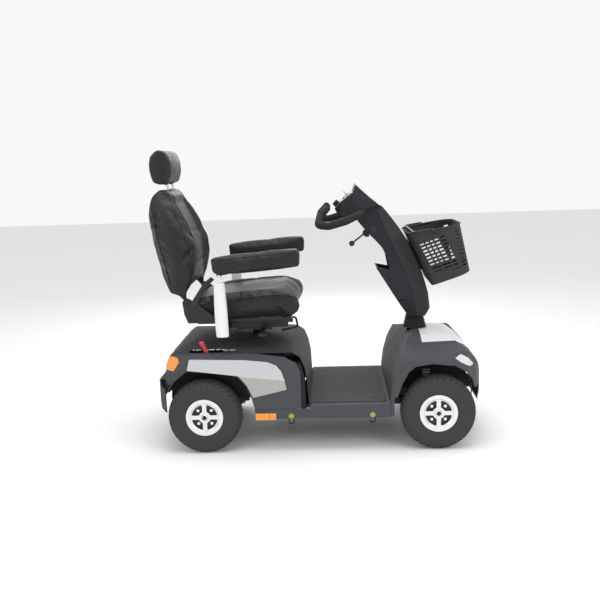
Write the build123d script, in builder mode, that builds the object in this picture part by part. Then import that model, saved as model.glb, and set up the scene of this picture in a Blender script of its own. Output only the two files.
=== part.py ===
from build123d import *
import os
from math import cos, radians, sin

os.makedirs("parts", exist_ok=True)

# ---------------------------------------------------------------------------
# Driving dimensions, millimetres. +X forward, +Y left, +Z up, floor at z = 0.
# ---------------------------------------------------------------------------
length = 1360
overall_width = 640
wheelbase = 940
rear_overhang = 218
tyre_diameter = 300
tyre_width = 88
rim_diameter = 151
half_body = 305
wall = 3
running = 0.05
gap = 0.4

deck_z = 190
skirt_z = 134
crown_z = 430
seat_post_x = 200
seat_post_r = 22
cushion_base_z = 543
pad_y = 275
column_x = 878
tilt_z = 455
kingpin_y = 215
steer_arm = 70
suspension_x = 170
suspension_z = 185
back_pivot = (-64, 614)
arm_pivot = (83, 721)

rear_axle_x = rear_overhang - length / 2
axle_z = tyre_diameter / 2
wheel_y = (overall_width - tyre_width) / 2
tyre_r = tyre_diameter / 2
rim_r = rim_diameter / 2

# Sketches on "side" read as (distance ahead of the rear axle, height); its
# normal points to the right-hand side, -Y. Sketches on "plan" read from above.
side = Plane(origin=(rear_axle_x, 0, 0), x_dir=(1, 0, 0), z_dir=(0, -1, 0))
plan = Plane(origin=(rear_axle_x, 0, 0))


def place(x, y, z):
    """A point given by its distance ahead of the rear axle."""
    return (rear_axle_x + x, y, z)


def from_front(x):
    """A sketch plane that looks back from x: (distance to the left, height)."""
    return Plane(origin=(rear_axle_x + x, 0, 0), x_dir=(0, 1, 0), z_dir=(1, 0, 0))


def outline(points, radius=0.0, inset=0.0):
    """Add a closed outline with rounded corners to the sketch being made."""
    with BuildLine() as line:
        if radius:
            FilletPolyline(*points, radius=radius, close=True)
        else:
            Polyline(*points, close=True)
    face = make_face(line.edges(), mode=Mode.PRIVATE)
    if inset:
        face = offset(face, amount=-inset, kind=Kind.INTERSECTION, mode=Mode.PRIVATE)
    add(face)


def bar(start, end, radius):
    """Add a round bar between two points to the part being made."""
    path = Edge.make_line(start, end)
    with BuildSketch(Plane(origin=start, z_dir=path % 0)) as section:
        Circle(radius)
    extrude(section.sketch, amount=path.length)


def tube_along(points, radius, bend):
    """Add a round tube that follows points with bends of one radius."""
    with BuildLine() as path:
        FilletPolyline(*points, radius=bend)
    with BuildSketch(Plane(origin=path.line @ 0, z_dir=path.line % 0)) as section:
        Circle(radius)
    sweep(section.sketch, path=path.line)


# ---------------------------------------------------------------------------
# Wheels: a plain round tyre on a four-spoke rim, with a hub behind the spokes.
# Each is made about the Y axis, with its outer face towards +Y.
# ---------------------------------------------------------------------------
bead_r = 72
spoke_width = 17
window_r = 53
hub_r = 62
axle_r = 10
bolt_circle = 38

with BuildPart() as tyre:
    with BuildSketch(Plane.YZ):
        outline(
            [(-32, bead_r), (-44, 98), (-43, 130), (-26, tyre_r),
             (26, tyre_r), (43, 130), (44, 98), (32, bead_r)],
            radius=8,
        )
    revolve(axis=Axis.Y)

with BuildPart() as rim:
    with BuildSketch(Plane.YZ):
        outline(
            [(38, rim_r), (34.2, rim_r), (34.2, bead_r), (-34.2, bead_r), (-34.2, rim_r),
             (-38, rim_r), (-38, 66), (20, 66), (20, 15), (34, 15), (34, 56), (38, 60)]
        )
    revolve(axis=Axis.Y)
    with BuildSketch(Plane.XZ) as windows:
        Circle(window_r)
        Circle(24, mode=Mode.SUBTRACT)
        Rectangle(spoke_width, 2 * rim_r, mode=Mode.SUBTRACT)
        Rectangle(2 * rim_r, spoke_width, mode=Mode.SUBTRACT)
        fillet(windows.vertices(), radius=4)
    extrude(amount=-50, mode=Mode.SUBTRACT)


def make_hub(bore_depth, shaft_length):
    """The hub behind the spokes, bored for a stub axle or carrying a half shaft."""
    with BuildPart() as hub:
        with BuildSketch(Plane.YZ):
            outline([(-14, 0), (-14, 24), (8, 24), (8, hub_r), (19.8, hub_r), (19.8, 14.8),
                     (36, 14.8), (40, 11), (40, 0)])
        revolve(axis=Axis.Y)
        with BuildSketch(Plane.XZ.offset(-19.8)):
            with PolarLocations(bolt_circle, 4, start_angle=45):
                Circle(6)
        extrude(amount=-7)
        if shaft_length:
            with BuildSketch(Plane.XZ.offset(14)):
                Circle(axle_r)
            extrude(amount=shaft_length)
        if bore_depth:
            with BuildSketch(Plane.XZ.offset(14)):
                Circle(axle_r + running)
            extrude(amount=-bore_depth, mode=Mode.SUBTRACT)
    return hub.part


front_hub = make_hub(bore_depth=44, shaft_length=0)
rear_hub = make_hub(bore_depth=0, shaft_length=112)

wheels = {
    "front_right": (wheelbase, -1, front_hub),
    "front_left": (wheelbase, 1, front_hub),
    "rear_right": (0, -1, rear_hub),
    "rear_left": (0, 1, rear_hub),
}
for name, (x, hand, hub) in wheels.items():
    centre = Location(place(x, hand * wheel_y, axle_z), (0, 0, 0 if hand > 0 else 180))
    wheel_tyre = tyre.part.moved(centre)
    wheel_tyre.label = f"tyre_{name}"
    export_step(wheel_tyre, f"parts/tyre_{name}.step")
    with BuildPart() as wheel_rim:
        add(rim.part.moved(centre))
        add(hub.moved(centre))
    wheel_rim.part.label = f"rim_{name}"
    export_step(wheel_rim.part, f"parts/rim_{name}.step")

# ---------------------------------------------------------------------------
# Chassis frame: rails, steering head, front beam with its yokes, seat tower
# and the rear arms that carry the springs and the bumper. One weldment.
# ---------------------------------------------------------------------------
rail_y = 130
rail_width = 30
rail_low = 140
rail_high = 170
rail_rear = 192
rail_front = 985
beam_x = (925, 955)
yoke_gap = (119.7, 180.3)
column_r = 14
tower_top = 416
tower_plate_z = 336
spring_x = -20
spring_y = 100
spring_top = 322

with BuildPart() as chassis_frame:
    for y in (-rail_y, rail_y):
        with BuildSketch(plan.offset(rail_low)):
            with Locations(((rail_rear + rail_front) / 2, y)):
                Rectangle(rail_front - rail_rear, rail_width)
        extrude(amount=rail_high - rail_low)
    for x, size in ((207, 30), (405, 24), (760, 24), (967, 36)):
        with BuildSketch(plan.offset(rail_low)):
            with Locations((x, 0)):
                Rectangle(size, 2 * rail_y)
        extrude(amount=rail_high - rail_low)
    # Front beam and the yokes that hold the kingpins
    with BuildSketch(plan.offset(122)):
        with Locations((sum(beam_x) / 2, 0)):
            Rectangle(beam_x[1] - beam_x[0], 2 * 190)
    extrude(amount=48)
    with BuildSketch(plan.offset(108)):
        for y in (-kingpin_y, kingpin_y):
            with Locations((wheelbase, y * 0.94)):
                Rectangle(30, 26)
            with Locations((wheelbase, y)):
                Circle(14)
    extrude(amount=84)
    with BuildSketch(plan.offset(yoke_gap[0])):
        with Locations((wheelbase, -kingpin_y), (wheelbase, kingpin_y)):
            Circle(25)
    extrude(amount=yoke_gap[1] - yoke_gap[0], mode=Mode.SUBTRACT)
    with BuildSketch(plan.offset(108)):
        with Locations((wheelbase, -kingpin_y), (wheelbase, kingpin_y)):
            Circle(8)
    extrude(amount=84)
    # Steering head: a bored tube on a gusset ahead of it
    with BuildSketch(side):
        outline([(901, rail_high), (901, 206), (880, 206), (880, 400), (905, 400), (985, rail_high)])
    extrude(amount=7, both=True)
    with BuildSketch(plan.offset(206)):
        with Locations((column_x, 0)):
            Circle(24)
    extrude(amount=196)
    with BuildSketch(plan.offset(200)):
        with Locations((column_x, 0)):
            Circle(column_r + running)
    extrude(amount=240, mode=Mode.SUBTRACT)
    # Seat tower: two legs, a top plate and the tube that the seat post stands in
    for y in (-104, 104):
        with BuildSketch(plan.offset(rail_low)):
            with Locations((200, y)):
                Rectangle(16, 24)
        extrude(amount=tower_plate_z - rail_low)
    with BuildSketch(plan.offset(tower_plate_z - 8)):
        with Locations((seat_post_x - 20, 0)):
            Rectangle(100, 232)
    extrude(amount=8)
    with BuildSketch(plan.offset(tower_plate_z - 40)):
        with Locations((seat_post_x, 0)):
            Circle(seat_post_r + 7)
    extrude(amount=tower_top - tower_plate_z + 40)
    with BuildSketch(plan.offset(tower_plate_z - 30)):
        with Locations((seat_post_x, 0)):
            Circle(seat_post_r + running)
    extrude(amount=200, mode=Mode.SUBTRACT)
    # Rear arms over the springs, and the bumper hanger
    for y in (-spring_y, spring_y):
        with BuildSketch(plan.offset(spring_top)):
            with Locations((5, y)):
                Rectangle(290, 26)
        extrude(amount=14)
        with BuildSketch(plan.offset(spring_top - 4)):
            with Locations((spring_x, y)):
                Circle(15)
        extrude(amount=4)
        with BuildSketch(side.offset(y - 5)):
            outline([(-152, 336), (-124, 336), (-124, 250), (-185, 196), (-197, 208), (-152, 262)])
        extrude(amount=10)
    with BuildSketch(plan.offset(spring_top)):
        with Locations((-138, 0)):
            Rectangle(26, 2 * spring_y)
    extrude(amount=14)
    # Lugs for the swing arm's pivot pin
    for y in (-83, 83):
        with BuildSketch(side.offset(y - 4)):
            outline([(155, 172), (155, 200), (210, 200), (210, 165), (185, 165)], radius=4)
        extrude(amount=8)
    with BuildSketch(side):
        with Locations((suspension_x, suspension_z)):
            Circle(6)
    extrude(amount=87, both=True)
chassis_frame.part.label = "chassis_frame"
export_step(chassis_frame.part, "parts/chassis_frame.step")

# ---------------------------------------------------------------------------
# Rear drive: gearbox with axle tubes and swing arm, motor, springs
# ---------------------------------------------------------------------------
axle_tube_r = 20
axle_tube_end = 196

with BuildPart() as transaxle:
    with BuildSketch(side):
        outline([(-62, 120), (-50, 205), (40, 215), (66, 190), (66, 110), (20, 92), (-40, 92)], radius=10)
    extrude(amount=52, both=True)
    with BuildSketch(side):
        with Locations((0, axle_z)):
            Circle(axle_tube_r)
    extrude(amount=axle_tube_end, both=True)
    for y in (-68, 68):
        with BuildSketch(side.offset(y - 5)):
            outline([(-14, 138), (-14, 168), (20, 172), (160, 198), (184, 190), (182, 174),
                     (20, 132)], radius=3)
        extrude(amount=10)
    with BuildSketch(side):
        with Locations((suspension_x, suspension_z)):
            Circle(13)
    extrude(amount=78.5, both=True)
    for y in (-spring_y, spring_y):
        with BuildSketch(plan.offset(axle_z)):
            with Locations((spring_x, y)):
                Circle(21)
        extrude(amount=28)
        with BuildSketch(plan.offset(axle_z)):
            with Locations((spring_x, y)):
                Circle(12)
        extrude(amount=44)
    with BuildSketch(side):
        with Locations((suspension_x, suspension_z)):
            Circle(6 + running)
    extrude(amount=90, both=True, mode=Mode.SUBTRACT)
    for y in (-1, 1):
        with BuildSketch(side.offset(y * 148)):
            with Locations((0, axle_z)):
                Circle(axle_r + running)
        extrude(amount=y * 60, mode=Mode.SUBTRACT)
transaxle.part.label = "transaxle"
export_step(transaxle.part, "parts/transaxle.step")

with BuildPart() as drive_motor:
    with BuildSketch(from_front(66)):
        with Locations((10, 150)):
            Circle(40)
    extrude(amount=64)
    with BuildSketch(from_front(130)):
        with Locations((10, 150)):
            Circle(30)
    extrude(amount=20)
    fillet(drive_motor.edges().filter_by(GeomType.CIRCLE), radius=3)
drive_motor.part.label = "drive_motor"
export_step(drive_motor.part, "parts/drive_motor.step")

spring_seat_z = axle_z + 28
spring_wire = 4
with BuildPart() as rear_springs:
    for y in (-spring_y, spring_y):
        start = Vector(*place(spring_x, y, spring_seat_z + spring_wire))
        with BuildLine(Plane(origin=start)) as coil:
            Helix(pitch=23, height=spring_top - 4 - spring_seat_z - 2 * spring_wire, radius=17)
        with BuildSketch(Plane(origin=coil.line @ 0, z_dir=coil.line % 0)):
            Circle(spring_wire)
        sweep(path=coil.line)
rear_springs.part.label = "rear_springs"
export_step(rear_springs.part, "parts/rear_springs.step")

# ---------------------------------------------------------------------------
# Steering: vertical kingpins, knuckles, one tie rod and the column
# ---------------------------------------------------------------------------
arm_low = 166
arm_high = 175
tie_low = 176
tie_high = 185
pitman_low = 190
pin_r = 5
stub_start = kingpin_y + 12
stub_end = wheel_y + 26

for name, hand in (("right", -1), ("left", 1)):
    with BuildPart() as knuckle:
        with BuildSketch(plan.offset(yoke_gap[0] + gap)):
            with Locations((wheelbase, hand * kingpin_y)):
                Circle(15)
        extrude(amount=yoke_gap[1] - yoke_gap[0] - 2 * gap)
        with BuildSketch(side.offset(-hand * kingpin_y)):
            with Locations((wheelbase, axle_z)):
                Circle(14)
        extrude(amount=-hand * (stub_start + 16 - kingpin_y))
        with BuildSketch(side.offset(-hand * kingpin_y)):
            with Locations((wheelbase, axle_z)):
                Circle(axle_r)
        extrude(amount=-hand * (stub_end - kingpin_y))
        with BuildSketch(plan.offset(arm_low)):
            with Locations((wheelbase - steer_arm / 2, hand * kingpin_y)):
                Rectangle(steer_arm, 14)
            with Locations((wheelbase - steer_arm, hand * kingpin_y)):
                Circle(9)
        extrude(amount=arm_high - arm_low)
        with BuildSketch(plan.offset(arm_low)):
            with Locations((wheelbase - steer_arm, hand * kingpin_y)):
                Circle(pin_r)
        extrude(amount=tie_high + 3 - arm_low)
        with BuildSketch(plan.offset(100)):
            with Locations((wheelbase, hand * kingpin_y)):
                Circle(8 + running)
        extrude(amount=100, mode=Mode.SUBTRACT)
    knuckle.part.label = f"knuckle_{name}"
    export_step(knuckle.part, f"parts/knuckle_{name}.step")

tie_x = wheelbase - steer_arm
pitman_x = column_x - steer_arm
with BuildPart() as tie_rod:
    with BuildSketch(plan.offset(tie_low)):
        with Locations((tie_x, 0)):
            Rectangle(11, 2 * kingpin_y)
        with Locations(((tie_x + pitman_x) / 2, 0)):
            Rectangle(tie_x - pitman_x, 18)
        with Locations((pitman_x, 0), (tie_x, -kingpin_y), (tie_x, kingpin_y)):
            Circle(10)
        with Locations((pitman_x, 0), (tie_x, -kingpin_y), (tie_x, kingpin_y)):
            Circle(pin_r + running, mode=Mode.SUBTRACT)
    extrude(amount=tie_high - tie_low)
tie_rod.part.label = "tie_rod"
export_step(tie_rod.part, "parts/tie_rod.step")

fork_inner = 11
with BuildPart() as steering_column:
    with BuildSketch(plan.offset(pitman_low)):
        with Locations((column_x, 0)):
            Circle(column_r)
    extrude(amount=430 - pitman_low)
    with BuildSketch(plan.offset(pitman_low)):
        with Locations(((column_x + pitman_x) / 2, 0)):
            Rectangle(steer_arm, 20)
        with Locations((column_x, 0)):
            Circle(18)
        with Locations((pitman_x, 0)):
            Circle(11)
    extrude(amount=10)
    with BuildSketch(plan.offset(tie_low)):
        with Locations((pitman_x, 0)):
            Circle(pin_r)
    extrude(amount=pitman_low - tie_low)
    with BuildSketch(plan.offset(410)):
        with Locations((column_x, 0)):
            Rectangle(30, 2 * fork_inner + 16)
    extrude(amount=22)
    for y in (-fork_inner - 8, fork_inner):
        with BuildSketch(side.offset(y)):
            with Locations((column_x, (432 + tilt_z) / 2)):
                Rectangle(30, tilt_z - 410)
            with Locations((column_x, tilt_z)):
                Circle(15)
        extrude(amount=8)
    with BuildSketch(side):
        with Locations((column_x, tilt_z)):
            Circle(6)
    extrude(amount=fork_inner + 8, both=True)
steering_column.part.label = "steering_column"
export_step(steering_column.part, "parts/steering_column.step")

bellows_low = 441
bellows_folds = 3
fold_height = 8
with BuildPart() as bellows:
    with BuildSketch(side):
        with BuildLine():
            ridge = [(column_x + 36, bellows_low)]
            for fold in range(bellows_folds):
                low = bellows_low + fold * fold_height
                ridge += [(column_x + 48, low + fold_height / 2), (column_x + 38, low + fold_height)]
            groove = [(x - 4, z) for x, z in reversed(ridge)]
            Polyline(*ridge, *groove, close=True)
        make_face()
    revolve(axis=Axis(place(column_x, 0, 0), (0, 0, 1)))
bellows.part.label = "bellows"
export_step(bellows.part, "parts/bellows.step")

# ---------------------------------------------------------------------------
# Body envelopes: each is the space common to a side, a plan and a front
# outline. A shell is the envelope less a smaller one, and the panels are cut
# from the shells so that they meet edge to edge.
# ---------------------------------------------------------------------------
rear_side = [
    (-166, 100), (-166, 235), (-170, 300), (-163, 350), (-143, 392), (-105, 420), (-50, crown_z),
    (180, crown_z), (300, 420), (356, 408), (392, 384), (410, 340), (420, 285), (427, 100),
]
rear_plan = [
    (427, -292), (370, -half_body), (-70, -half_body), (-170, -215),
    (-170, 215), (-70, half_body), (370, half_body), (427, 292),
]
rear_front = [
    (-half_body, 100), (-half_body, 386), (-268, 404), (-225, 418), (-120, 428), (0, crown_z),
    (120, 428), (225, 418), (268, 404), (half_body, 386), (half_body, 100),
]


def rear_envelope(inset):
    """The outer form of the rear body, or the same form drawn in by inset."""
    with BuildPart() as form:
        with BuildSketch(side):
            outline(rear_side, inset=inset)
        extrude(amount=half_body + 10, both=True)
        with BuildSketch(plan):
            outline(rear_plan, inset=inset)
        extrude(amount=600, mode=Mode.INTERSECT)
        with BuildSketch(from_front(-400)):
            outline(rear_front, inset=inset)
        extrude(amount=1000, mode=Mode.INTERSECT)
        with BuildSketch(plan):
            with Locations((120, 0)):
                Rectangle(900, 900)
        extrude(amount=179, mode=Mode.SUBTRACT)
    return form.part


rear_shell = rear_envelope(0) - rear_envelope(wall).moved(Location((0, 0, -0.01)))

seam_y = 268
seam_line = [(-180, 396), (-74, 404.5), (202, 402), (332, 390), (375, 368), (396, 320), (405, 255),
             (405, 170)]
rear_arch = [
    (-200, 150), (-156, 240), (-122, 296), (-66, 340), (60, 334), (139, 314), (172, 276),
    (192, 226), (205, 178), (205, 150),
]
lamp_box = (-175, -96, 140, 320, 329, 394)
lever_slot = (-58, 84, 234, 260)
post_hole_r = 26

with BuildPart() as tail_lights:
    add(rear_shell)
    with BuildSketch(side):
        outline([(lamp_box[0], lamp_box[4]), (-128, lamp_box[4]), (lamp_box[1], 374), (-104, 392),
                 (lamp_box[0], lamp_box[5])])
    extrude(amount=400, both=True, mode=Mode.INTERSECT)
    with BuildSketch(from_front(-200)):
        Rectangle(2 * lamp_box[2], 1200)
    extrude(amount=400, mode=Mode.SUBTRACT)
tail_lights.part.label = "tail_lights"
export_step(tail_lights.part, "parts/tail_lights.step")

with BuildPart() as rear_shroud:
    add(rear_shell)
    with BuildSketch(side):
        outline([(-180, 480), (480, 480), (480, 170), *reversed(seam_line)])
    extrude(amount=400, both=True, mode=Mode.INTERSECT)
    with BuildSketch(from_front(-200)):
        Rectangle(2 * seam_y, 1200)
    extrude(amount=700, mode=Mode.INTERSECT)
    # The back of the dome reaches down between the lamps to the bumper
    with BuildPart(mode=Mode.PRIVATE) as back_panel:
        add(rear_shell)
        with BuildSketch(from_front(-200)):
            with Locations((0, 335)):
                Rectangle(2 * lamp_box[2] - 1, 142)
        extrude(amount=90, mode=Mode.INTERSECT)
    add(back_panel.part)
    with BuildSketch(plan.offset(300)):
        with Locations((seat_post_x, 0)):
            Circle(post_hole_r)
        with Locations(((lever_slot[0] + lever_slot[1]) / 2, -(lever_slot[2] + lever_slot[3]) / 2)):
            SlotOverall(lever_slot[1] - lever_slot[0], lever_slot[3] - lever_slot[2])
    extrude(amount=200, mode=Mode.SUBTRACT)
    add(tail_lights.part, mode=Mode.SUBTRACT)
rear_shroud.part.label = "rear_shroud"
export_step(rear_shroud.part, "parts/rear_shroud.step")

bumper_low = 166
bumper_high = 262
arch_lip = 4
liner_y = 212
with BuildPart() as rear_fenders:
    add(rear_shell)
    with BuildSketch(side):
        outline([(-180, 170), *seam_line])
    extrude(amount=400, both=True, mode=Mode.INTERSECT)
    with BuildSketch(from_front(-200)):
        Rectangle(2 * liner_y, 1200)
    extrude(amount=1000, mode=Mode.SUBTRACT)
    # The lip round each wheel arch runs inwards as a liner over the tyre
    for hand in (-1, 1):
        with BuildSketch(side.offset(-hand * (half_body - 1))):
            outline(rear_arch, inset=-arch_lip)
        extrude(amount=hand * (half_body - 1 - liner_y))
    with BuildSketch(side):
        outline(rear_arch)
        with BuildLine():
            Polyline((-220, 100), (-220, 240), rear_arch[1], (205, 178), (205, 100), close=True)
        make_face()
    extrude(amount=400, both=True, mode=Mode.SUBTRACT)
    with BuildSketch(plan):
        with Locations((-185, 0)):
            Rectangle(90, 900)
    extrude(amount=bumper_high + 1, mode=Mode.SUBTRACT)
    add(tail_lights.part, mode=Mode.SUBTRACT)
    add(rear_shroud.part, mode=Mode.SUBTRACT)
rear_fenders.part.label = "rear_fenders"
export_step(rear_fenders.part, "parts/rear_fenders.step")

panel_thickness = 4
side_panel = [
    (-51, 391), (172, 384), (262, 374), (296, 360), (316, 336), (328, 300), (336, 259),
    (200, 228), (178, 277), (144, 319), (-62, 346),
]
with BuildPart() as side_panels:
    with BuildSketch(side.offset(half_body)) as panel:
        outline(side_panel)
        fillet(panel.vertices(), radius=4)
    extrude(amount=panel_thickness)
    with BuildSketch(plan):
        outline(rear_plan, inset=-panel_thickness)
    extrude(amount=600, mode=Mode.INTERSECT)
    with BuildSketch(from_front(-400)):
        outline(rear_front, inset=-panel_thickness)
    extrude(amount=1000, mode=Mode.INTERSECT)
    mirror(about=Plane.XZ)
side_panels.part.label = "side_panels"
export_step(side_panels.part, "parts/side_panels.step")

bumper_plan = [
    (-160, -288), (-190, -225), (-rear_overhang, -120), (-rear_overhang, 120), (-190, 225), (-160, 288),
]
bumper_wall = 5
with BuildPart() as rear_bumper:
    with BuildSketch(plan.offset(bumper_low)):
        outline([*bumper_plan, (-100, 286), (-100, -286)])
    extrude(amount=bumper_high - bumper_low)
    with BuildSketch(plan.offset(bumper_low)):
        outline([(x + bumper_wall, y) for x, y in bumper_plan] + [(-60, 300), (-60, -300)])
    extrude(amount=bumper_high - bumper_low, mode=Mode.SUBTRACT)
    with BuildSketch(plan.offset(bumper_high - 4)):
        with Locations((-184, 0)):
            Rectangle(56, 260)
    extrude(amount=4)
rear_bumper.part.label = "rear_bumper"
export_step(rear_bumper.part, "parts/rear_bumper.step")

# ---------------------------------------------------------------------------
# Floor: pan with side skirts, mat, tie-down rings, batteries, controller
# ---------------------------------------------------------------------------
pan_rear = 210
pan_front = 750.6
deck_rear = 427.5
with BuildPart() as rail_tunnel:
    with BuildSketch(plan.offset(100)):
        with Locations((750, 0)):
            Rectangle(60, 2 * 153)
    extrude(amount=82)
with BuildPart() as floor_pan:
    with BuildSketch(side):
        outline([(pan_rear, skirt_z + 4), (pan_rear, 178), (deck_rear, 178), (deck_rear, deck_z),
                 (pan_front, deck_z), (pan_front, skirt_z)])
    extrude(amount=half_body, both=True)
    with BuildSketch(side):
        outline([(pan_rear - 1, 100), (pan_rear - 1, 200), (deck_rear + 4, 200),
                 (deck_rear + 4, deck_z - 5), (pan_front - 4, deck_z - 5), (pan_front - 4, 100)])
    extrude(amount=half_body - 5, both=True, mode=Mode.SUBTRACT)
    add(rail_tunnel.part, mode=Mode.SUBTRACT)
floor_pan.part.label = "floor_pan"
export_step(floor_pan.part, "parts/floor_pan.step")

mat_thickness = 3
with BuildPart() as floor_mat:
    with BuildSketch(plan.offset(deck_z)):
        with Locations(((deck_rear + pan_front) / 2 - 2, 0)):
            RectangleRounded(pan_front - deck_rear - 26, 540, 18)
    extrude(amount=mat_thickness)
floor_mat.part.label = "floor_mat"
export_step(floor_mat.part, "parts/floor_mat.step")

ring_x = (351, 678)
ring_z = 124
ring_bore = 9
ring_y = 290
ring_thickness = 6
with BuildPart() as tie_downs:
    with BuildSketch(side.offset(ring_y)):
        for x in ring_x:
            with Locations((x, ring_z)):
                Circle(ring_bore + 5)
            with Locations((x, ring_z + 20)):
                Rectangle(20, 28)
    extrude(amount=ring_thickness)
    with BuildSketch(side.offset(145)):
        for x in ring_x:
            with Locations((x, 154)):
                Rectangle(20, 8)
    extrude(amount=ring_y - 145 + ring_thickness)
    with BuildSketch(side.offset(ring_y - 1)):
        for x in ring_x:
            with Locations((x, ring_z)):
                Circle(ring_bore)
    extrude(amount=ring_thickness + 2, mode=Mode.SUBTRACT)
    mirror(about=Plane.XZ)
tie_downs.part.label = "tie_downs"
export_step(tie_downs.part, "parts/tie_downs.step")

battery = (165, 84, 148)
with BuildPart() as batteries:
    with BuildSketch(plan.offset(rail_high)):
        for y in (-48, 48):
            with Locations((313, y)):
                RectangleRounded(battery[0], battery[1], 6)
    extrude(amount=battery[2])
batteries.part.label = "batteries"
export_step(batteries.part, "parts/batteries.step")

with BuildPart() as controller:
    with BuildSketch(plan.offset(rail_high)):
        with Locations((310, 128)):
            Rectangle(120, 62)
    extrude(amount=40)
    with BuildSketch(plan.offset(rail_high + 40)):
        with Locations((310, 128)):
            with GridLocations(0, 10, 1, 5):
                Rectangle(110, 3)
    extrude(amount=12)
controller.part.label = "controller"
export_step(controller.part, "parts/controller.step")

# ---------------------------------------------------------------------------
# Front body: cowl, hood, leg shield and headlights from one envelope
# ---------------------------------------------------------------------------
front_side = [
    (751, 100), (751, 205), (760, 270), (779, 335), (806, 390), (836, 424), (870, 440),
    (930, 440), (965, 434), (1018, 418), (1066, 388), (1100, 352), (1126, 309), (1138, 264),
    (1142, 217), (1127, 165), (1127, 100),
]
front_plan = [
    (751, -306), (840, -310), (985, -310), (1060, -275), (1108, -205), (1136, -110), (1142, -40),
    (1142, 40), (1136, 110), (1108, 205), (1060, 275), (985, 310), (840, 310), (751, 306),
]
front_front = [
    (-310, 100), (-310, 362), (-294, 392), (-190, 406), (-120, 430), (-60, 440), (60, 440),
    (120, 430), (190, 406), (294, 392), (310, 362), (310, 100),
]


def front_envelope(inset):
    """The outer form of the front body, or the same form drawn in by inset."""
    with BuildPart() as form:
        with BuildSketch(side):
            outline(front_side, inset=inset)
        extrude(amount=320, both=True)
        with BuildSketch(plan):
            outline(front_plan, inset=inset)
        extrude(amount=600, mode=Mode.INTERSECT)
        with BuildSketch(from_front(700)):
            outline(front_front, inset=inset)
        extrude(amount=600, mode=Mode.INTERSECT)
        with BuildSketch(plan):
            with Locations((950, 0)):
                Rectangle(900, 900)
        extrude(amount=138, mode=Mode.SUBTRACT)
    return form.part


front_shell = front_envelope(0) - front_envelope(wall).moved(Location((0, 0, -0.01)))
front_arch = [
    (764, 100), (764, 150), (775, 210), (799, 275), (823, 319), (852, 343), (919, 352), (1004, 342),
    (1056, 308), (1086, 268), (1099, 226), (1099, 100),
]
hood_plan = [(890, 176), (1036, 168), (1082, 112), (1098, 60), (1098, -60), (1082, -112),
             (1036, -168), (890, -176)]
shield_front = [(-284, 100), (-284, 200), (-190, 320), (-64, 460), (64, 460), (190, 320), (284, 200),
                (284, 100)]
column_hole_r = 34
lamp_inner_y = 205

with BuildPart() as front_hood:
    add(front_shell)
    with BuildSketch(plan.offset(300)):
        outline(hood_plan)
        with Locations((column_x, 0)):
            Circle(column_hole_r, mode=Mode.SUBTRACT)
    extrude(amount=200, mode=Mode.INTERSECT)
front_hood.part.label = "front_hood"
export_step(front_hood.part, "parts/front_hood.step")

with BuildPart() as leg_shield:
    add(front_shell)
    with BuildSketch(from_front(700)):
        outline(shield_front)
    extrude(amount=150, mode=Mode.INTERSECT)
    with BuildSketch(plan.offset(300)):
        with Locations((column_x, 0)):
            Circle(column_hole_r)
    extrude(amount=200, mode=Mode.SUBTRACT)
    add(rail_tunnel.part, mode=Mode.SUBTRACT)
leg_shield.part.label = "leg_shield"
export_step(leg_shield.part, "parts/leg_shield.step")

with BuildPart() as headlights:
    add(front_shell)
    with BuildSketch(side):
        outline([(1006, 372), (1030, 386), (1062, 366), (1092, 330), (1074, 326), (1030, 352)])
    extrude(amount=400, both=True, mode=Mode.INTERSECT)
    with BuildSketch(from_front(700)):
        Rectangle(2 * lamp_inner_y, 1200)
    extrude(amount=600, mode=Mode.SUBTRACT)
headlights.part.label = "headlights"
export_step(headlights.part, "parts/headlights.step")

front_liner_y = 120
skirt_corner_y = 128
with BuildPart() as front_cowl:
    add(front_shell)
    for hand in (-1, 1):
        with BuildSketch(side.offset(-hand * 306)):
            outline(front_arch, inset=-arch_lip)
        extrude(amount=hand * (306 - front_liner_y))
    add(front_envelope(0.01), mode=Mode.INTERSECT)
    for hand in (-1, 1):
        with BuildSketch(side.offset(-hand * 330)):
            outline(front_arch)
        extrude(amount=hand * (330 - front_liner_y + 5), mode=Mode.SUBTRACT)
    with BuildSketch(side):
        outline([(765, 100), (765, 216), (1150, 216), (1150, 100)])
        with Locations((1110, 200)):
            Rectangle(100, 100, mode=Mode.SUBTRACT)
    extrude(amount=400, both=True, mode=Mode.SUBTRACT)
    # The skirt's lower corners are cut back where the turned tyres swing
    for hand in (-1, 1):
        with BuildSketch(side.offset(hand * skirt_corner_y)):
            outline([(1000, 100), (1000, 226), (1160, 226), (1160, 100)])
        extrude(amount=hand * 220, mode=Mode.SUBTRACT)
    with BuildSketch(plan.offset(300)):
        with Locations((column_x, 0)):
            Circle(column_hole_r)
    extrude(amount=200, mode=Mode.SUBTRACT)
    for panel in (front_hood, leg_shield, headlights, rail_tunnel):
        add(panel.part, mode=Mode.SUBTRACT)
front_cowl.part.label = "front_cowl"
export_step(front_cowl.part, "parts/front_cowl.step")

# ---------------------------------------------------------------------------
# Freewheel lever: pivots on the frame and stands up through the shroud's slot
# ---------------------------------------------------------------------------
lever_y = -247
lever_pivot = (22, 380)
knob_tilt = Plane(origin=place(0, lever_y, 430), z_dir=(-0.42, 0, 0.9))
with BuildPart() as freewheel_lever:
    with BuildSketch(side.offset(-lever_y - 3)):
        with Locations(lever_pivot):
            Circle(9)
        outline([(16, 376), (-6, 432), (6, 434), (30, 384)])
    extrude(amount=6)
    with BuildSketch(knob_tilt):
        Circle(10)
    extrude(amount=20)
freewheel_lever.part.label = "freewheel_lever"
export_step(freewheel_lever.part, "parts/freewheel_lever.step")

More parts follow.
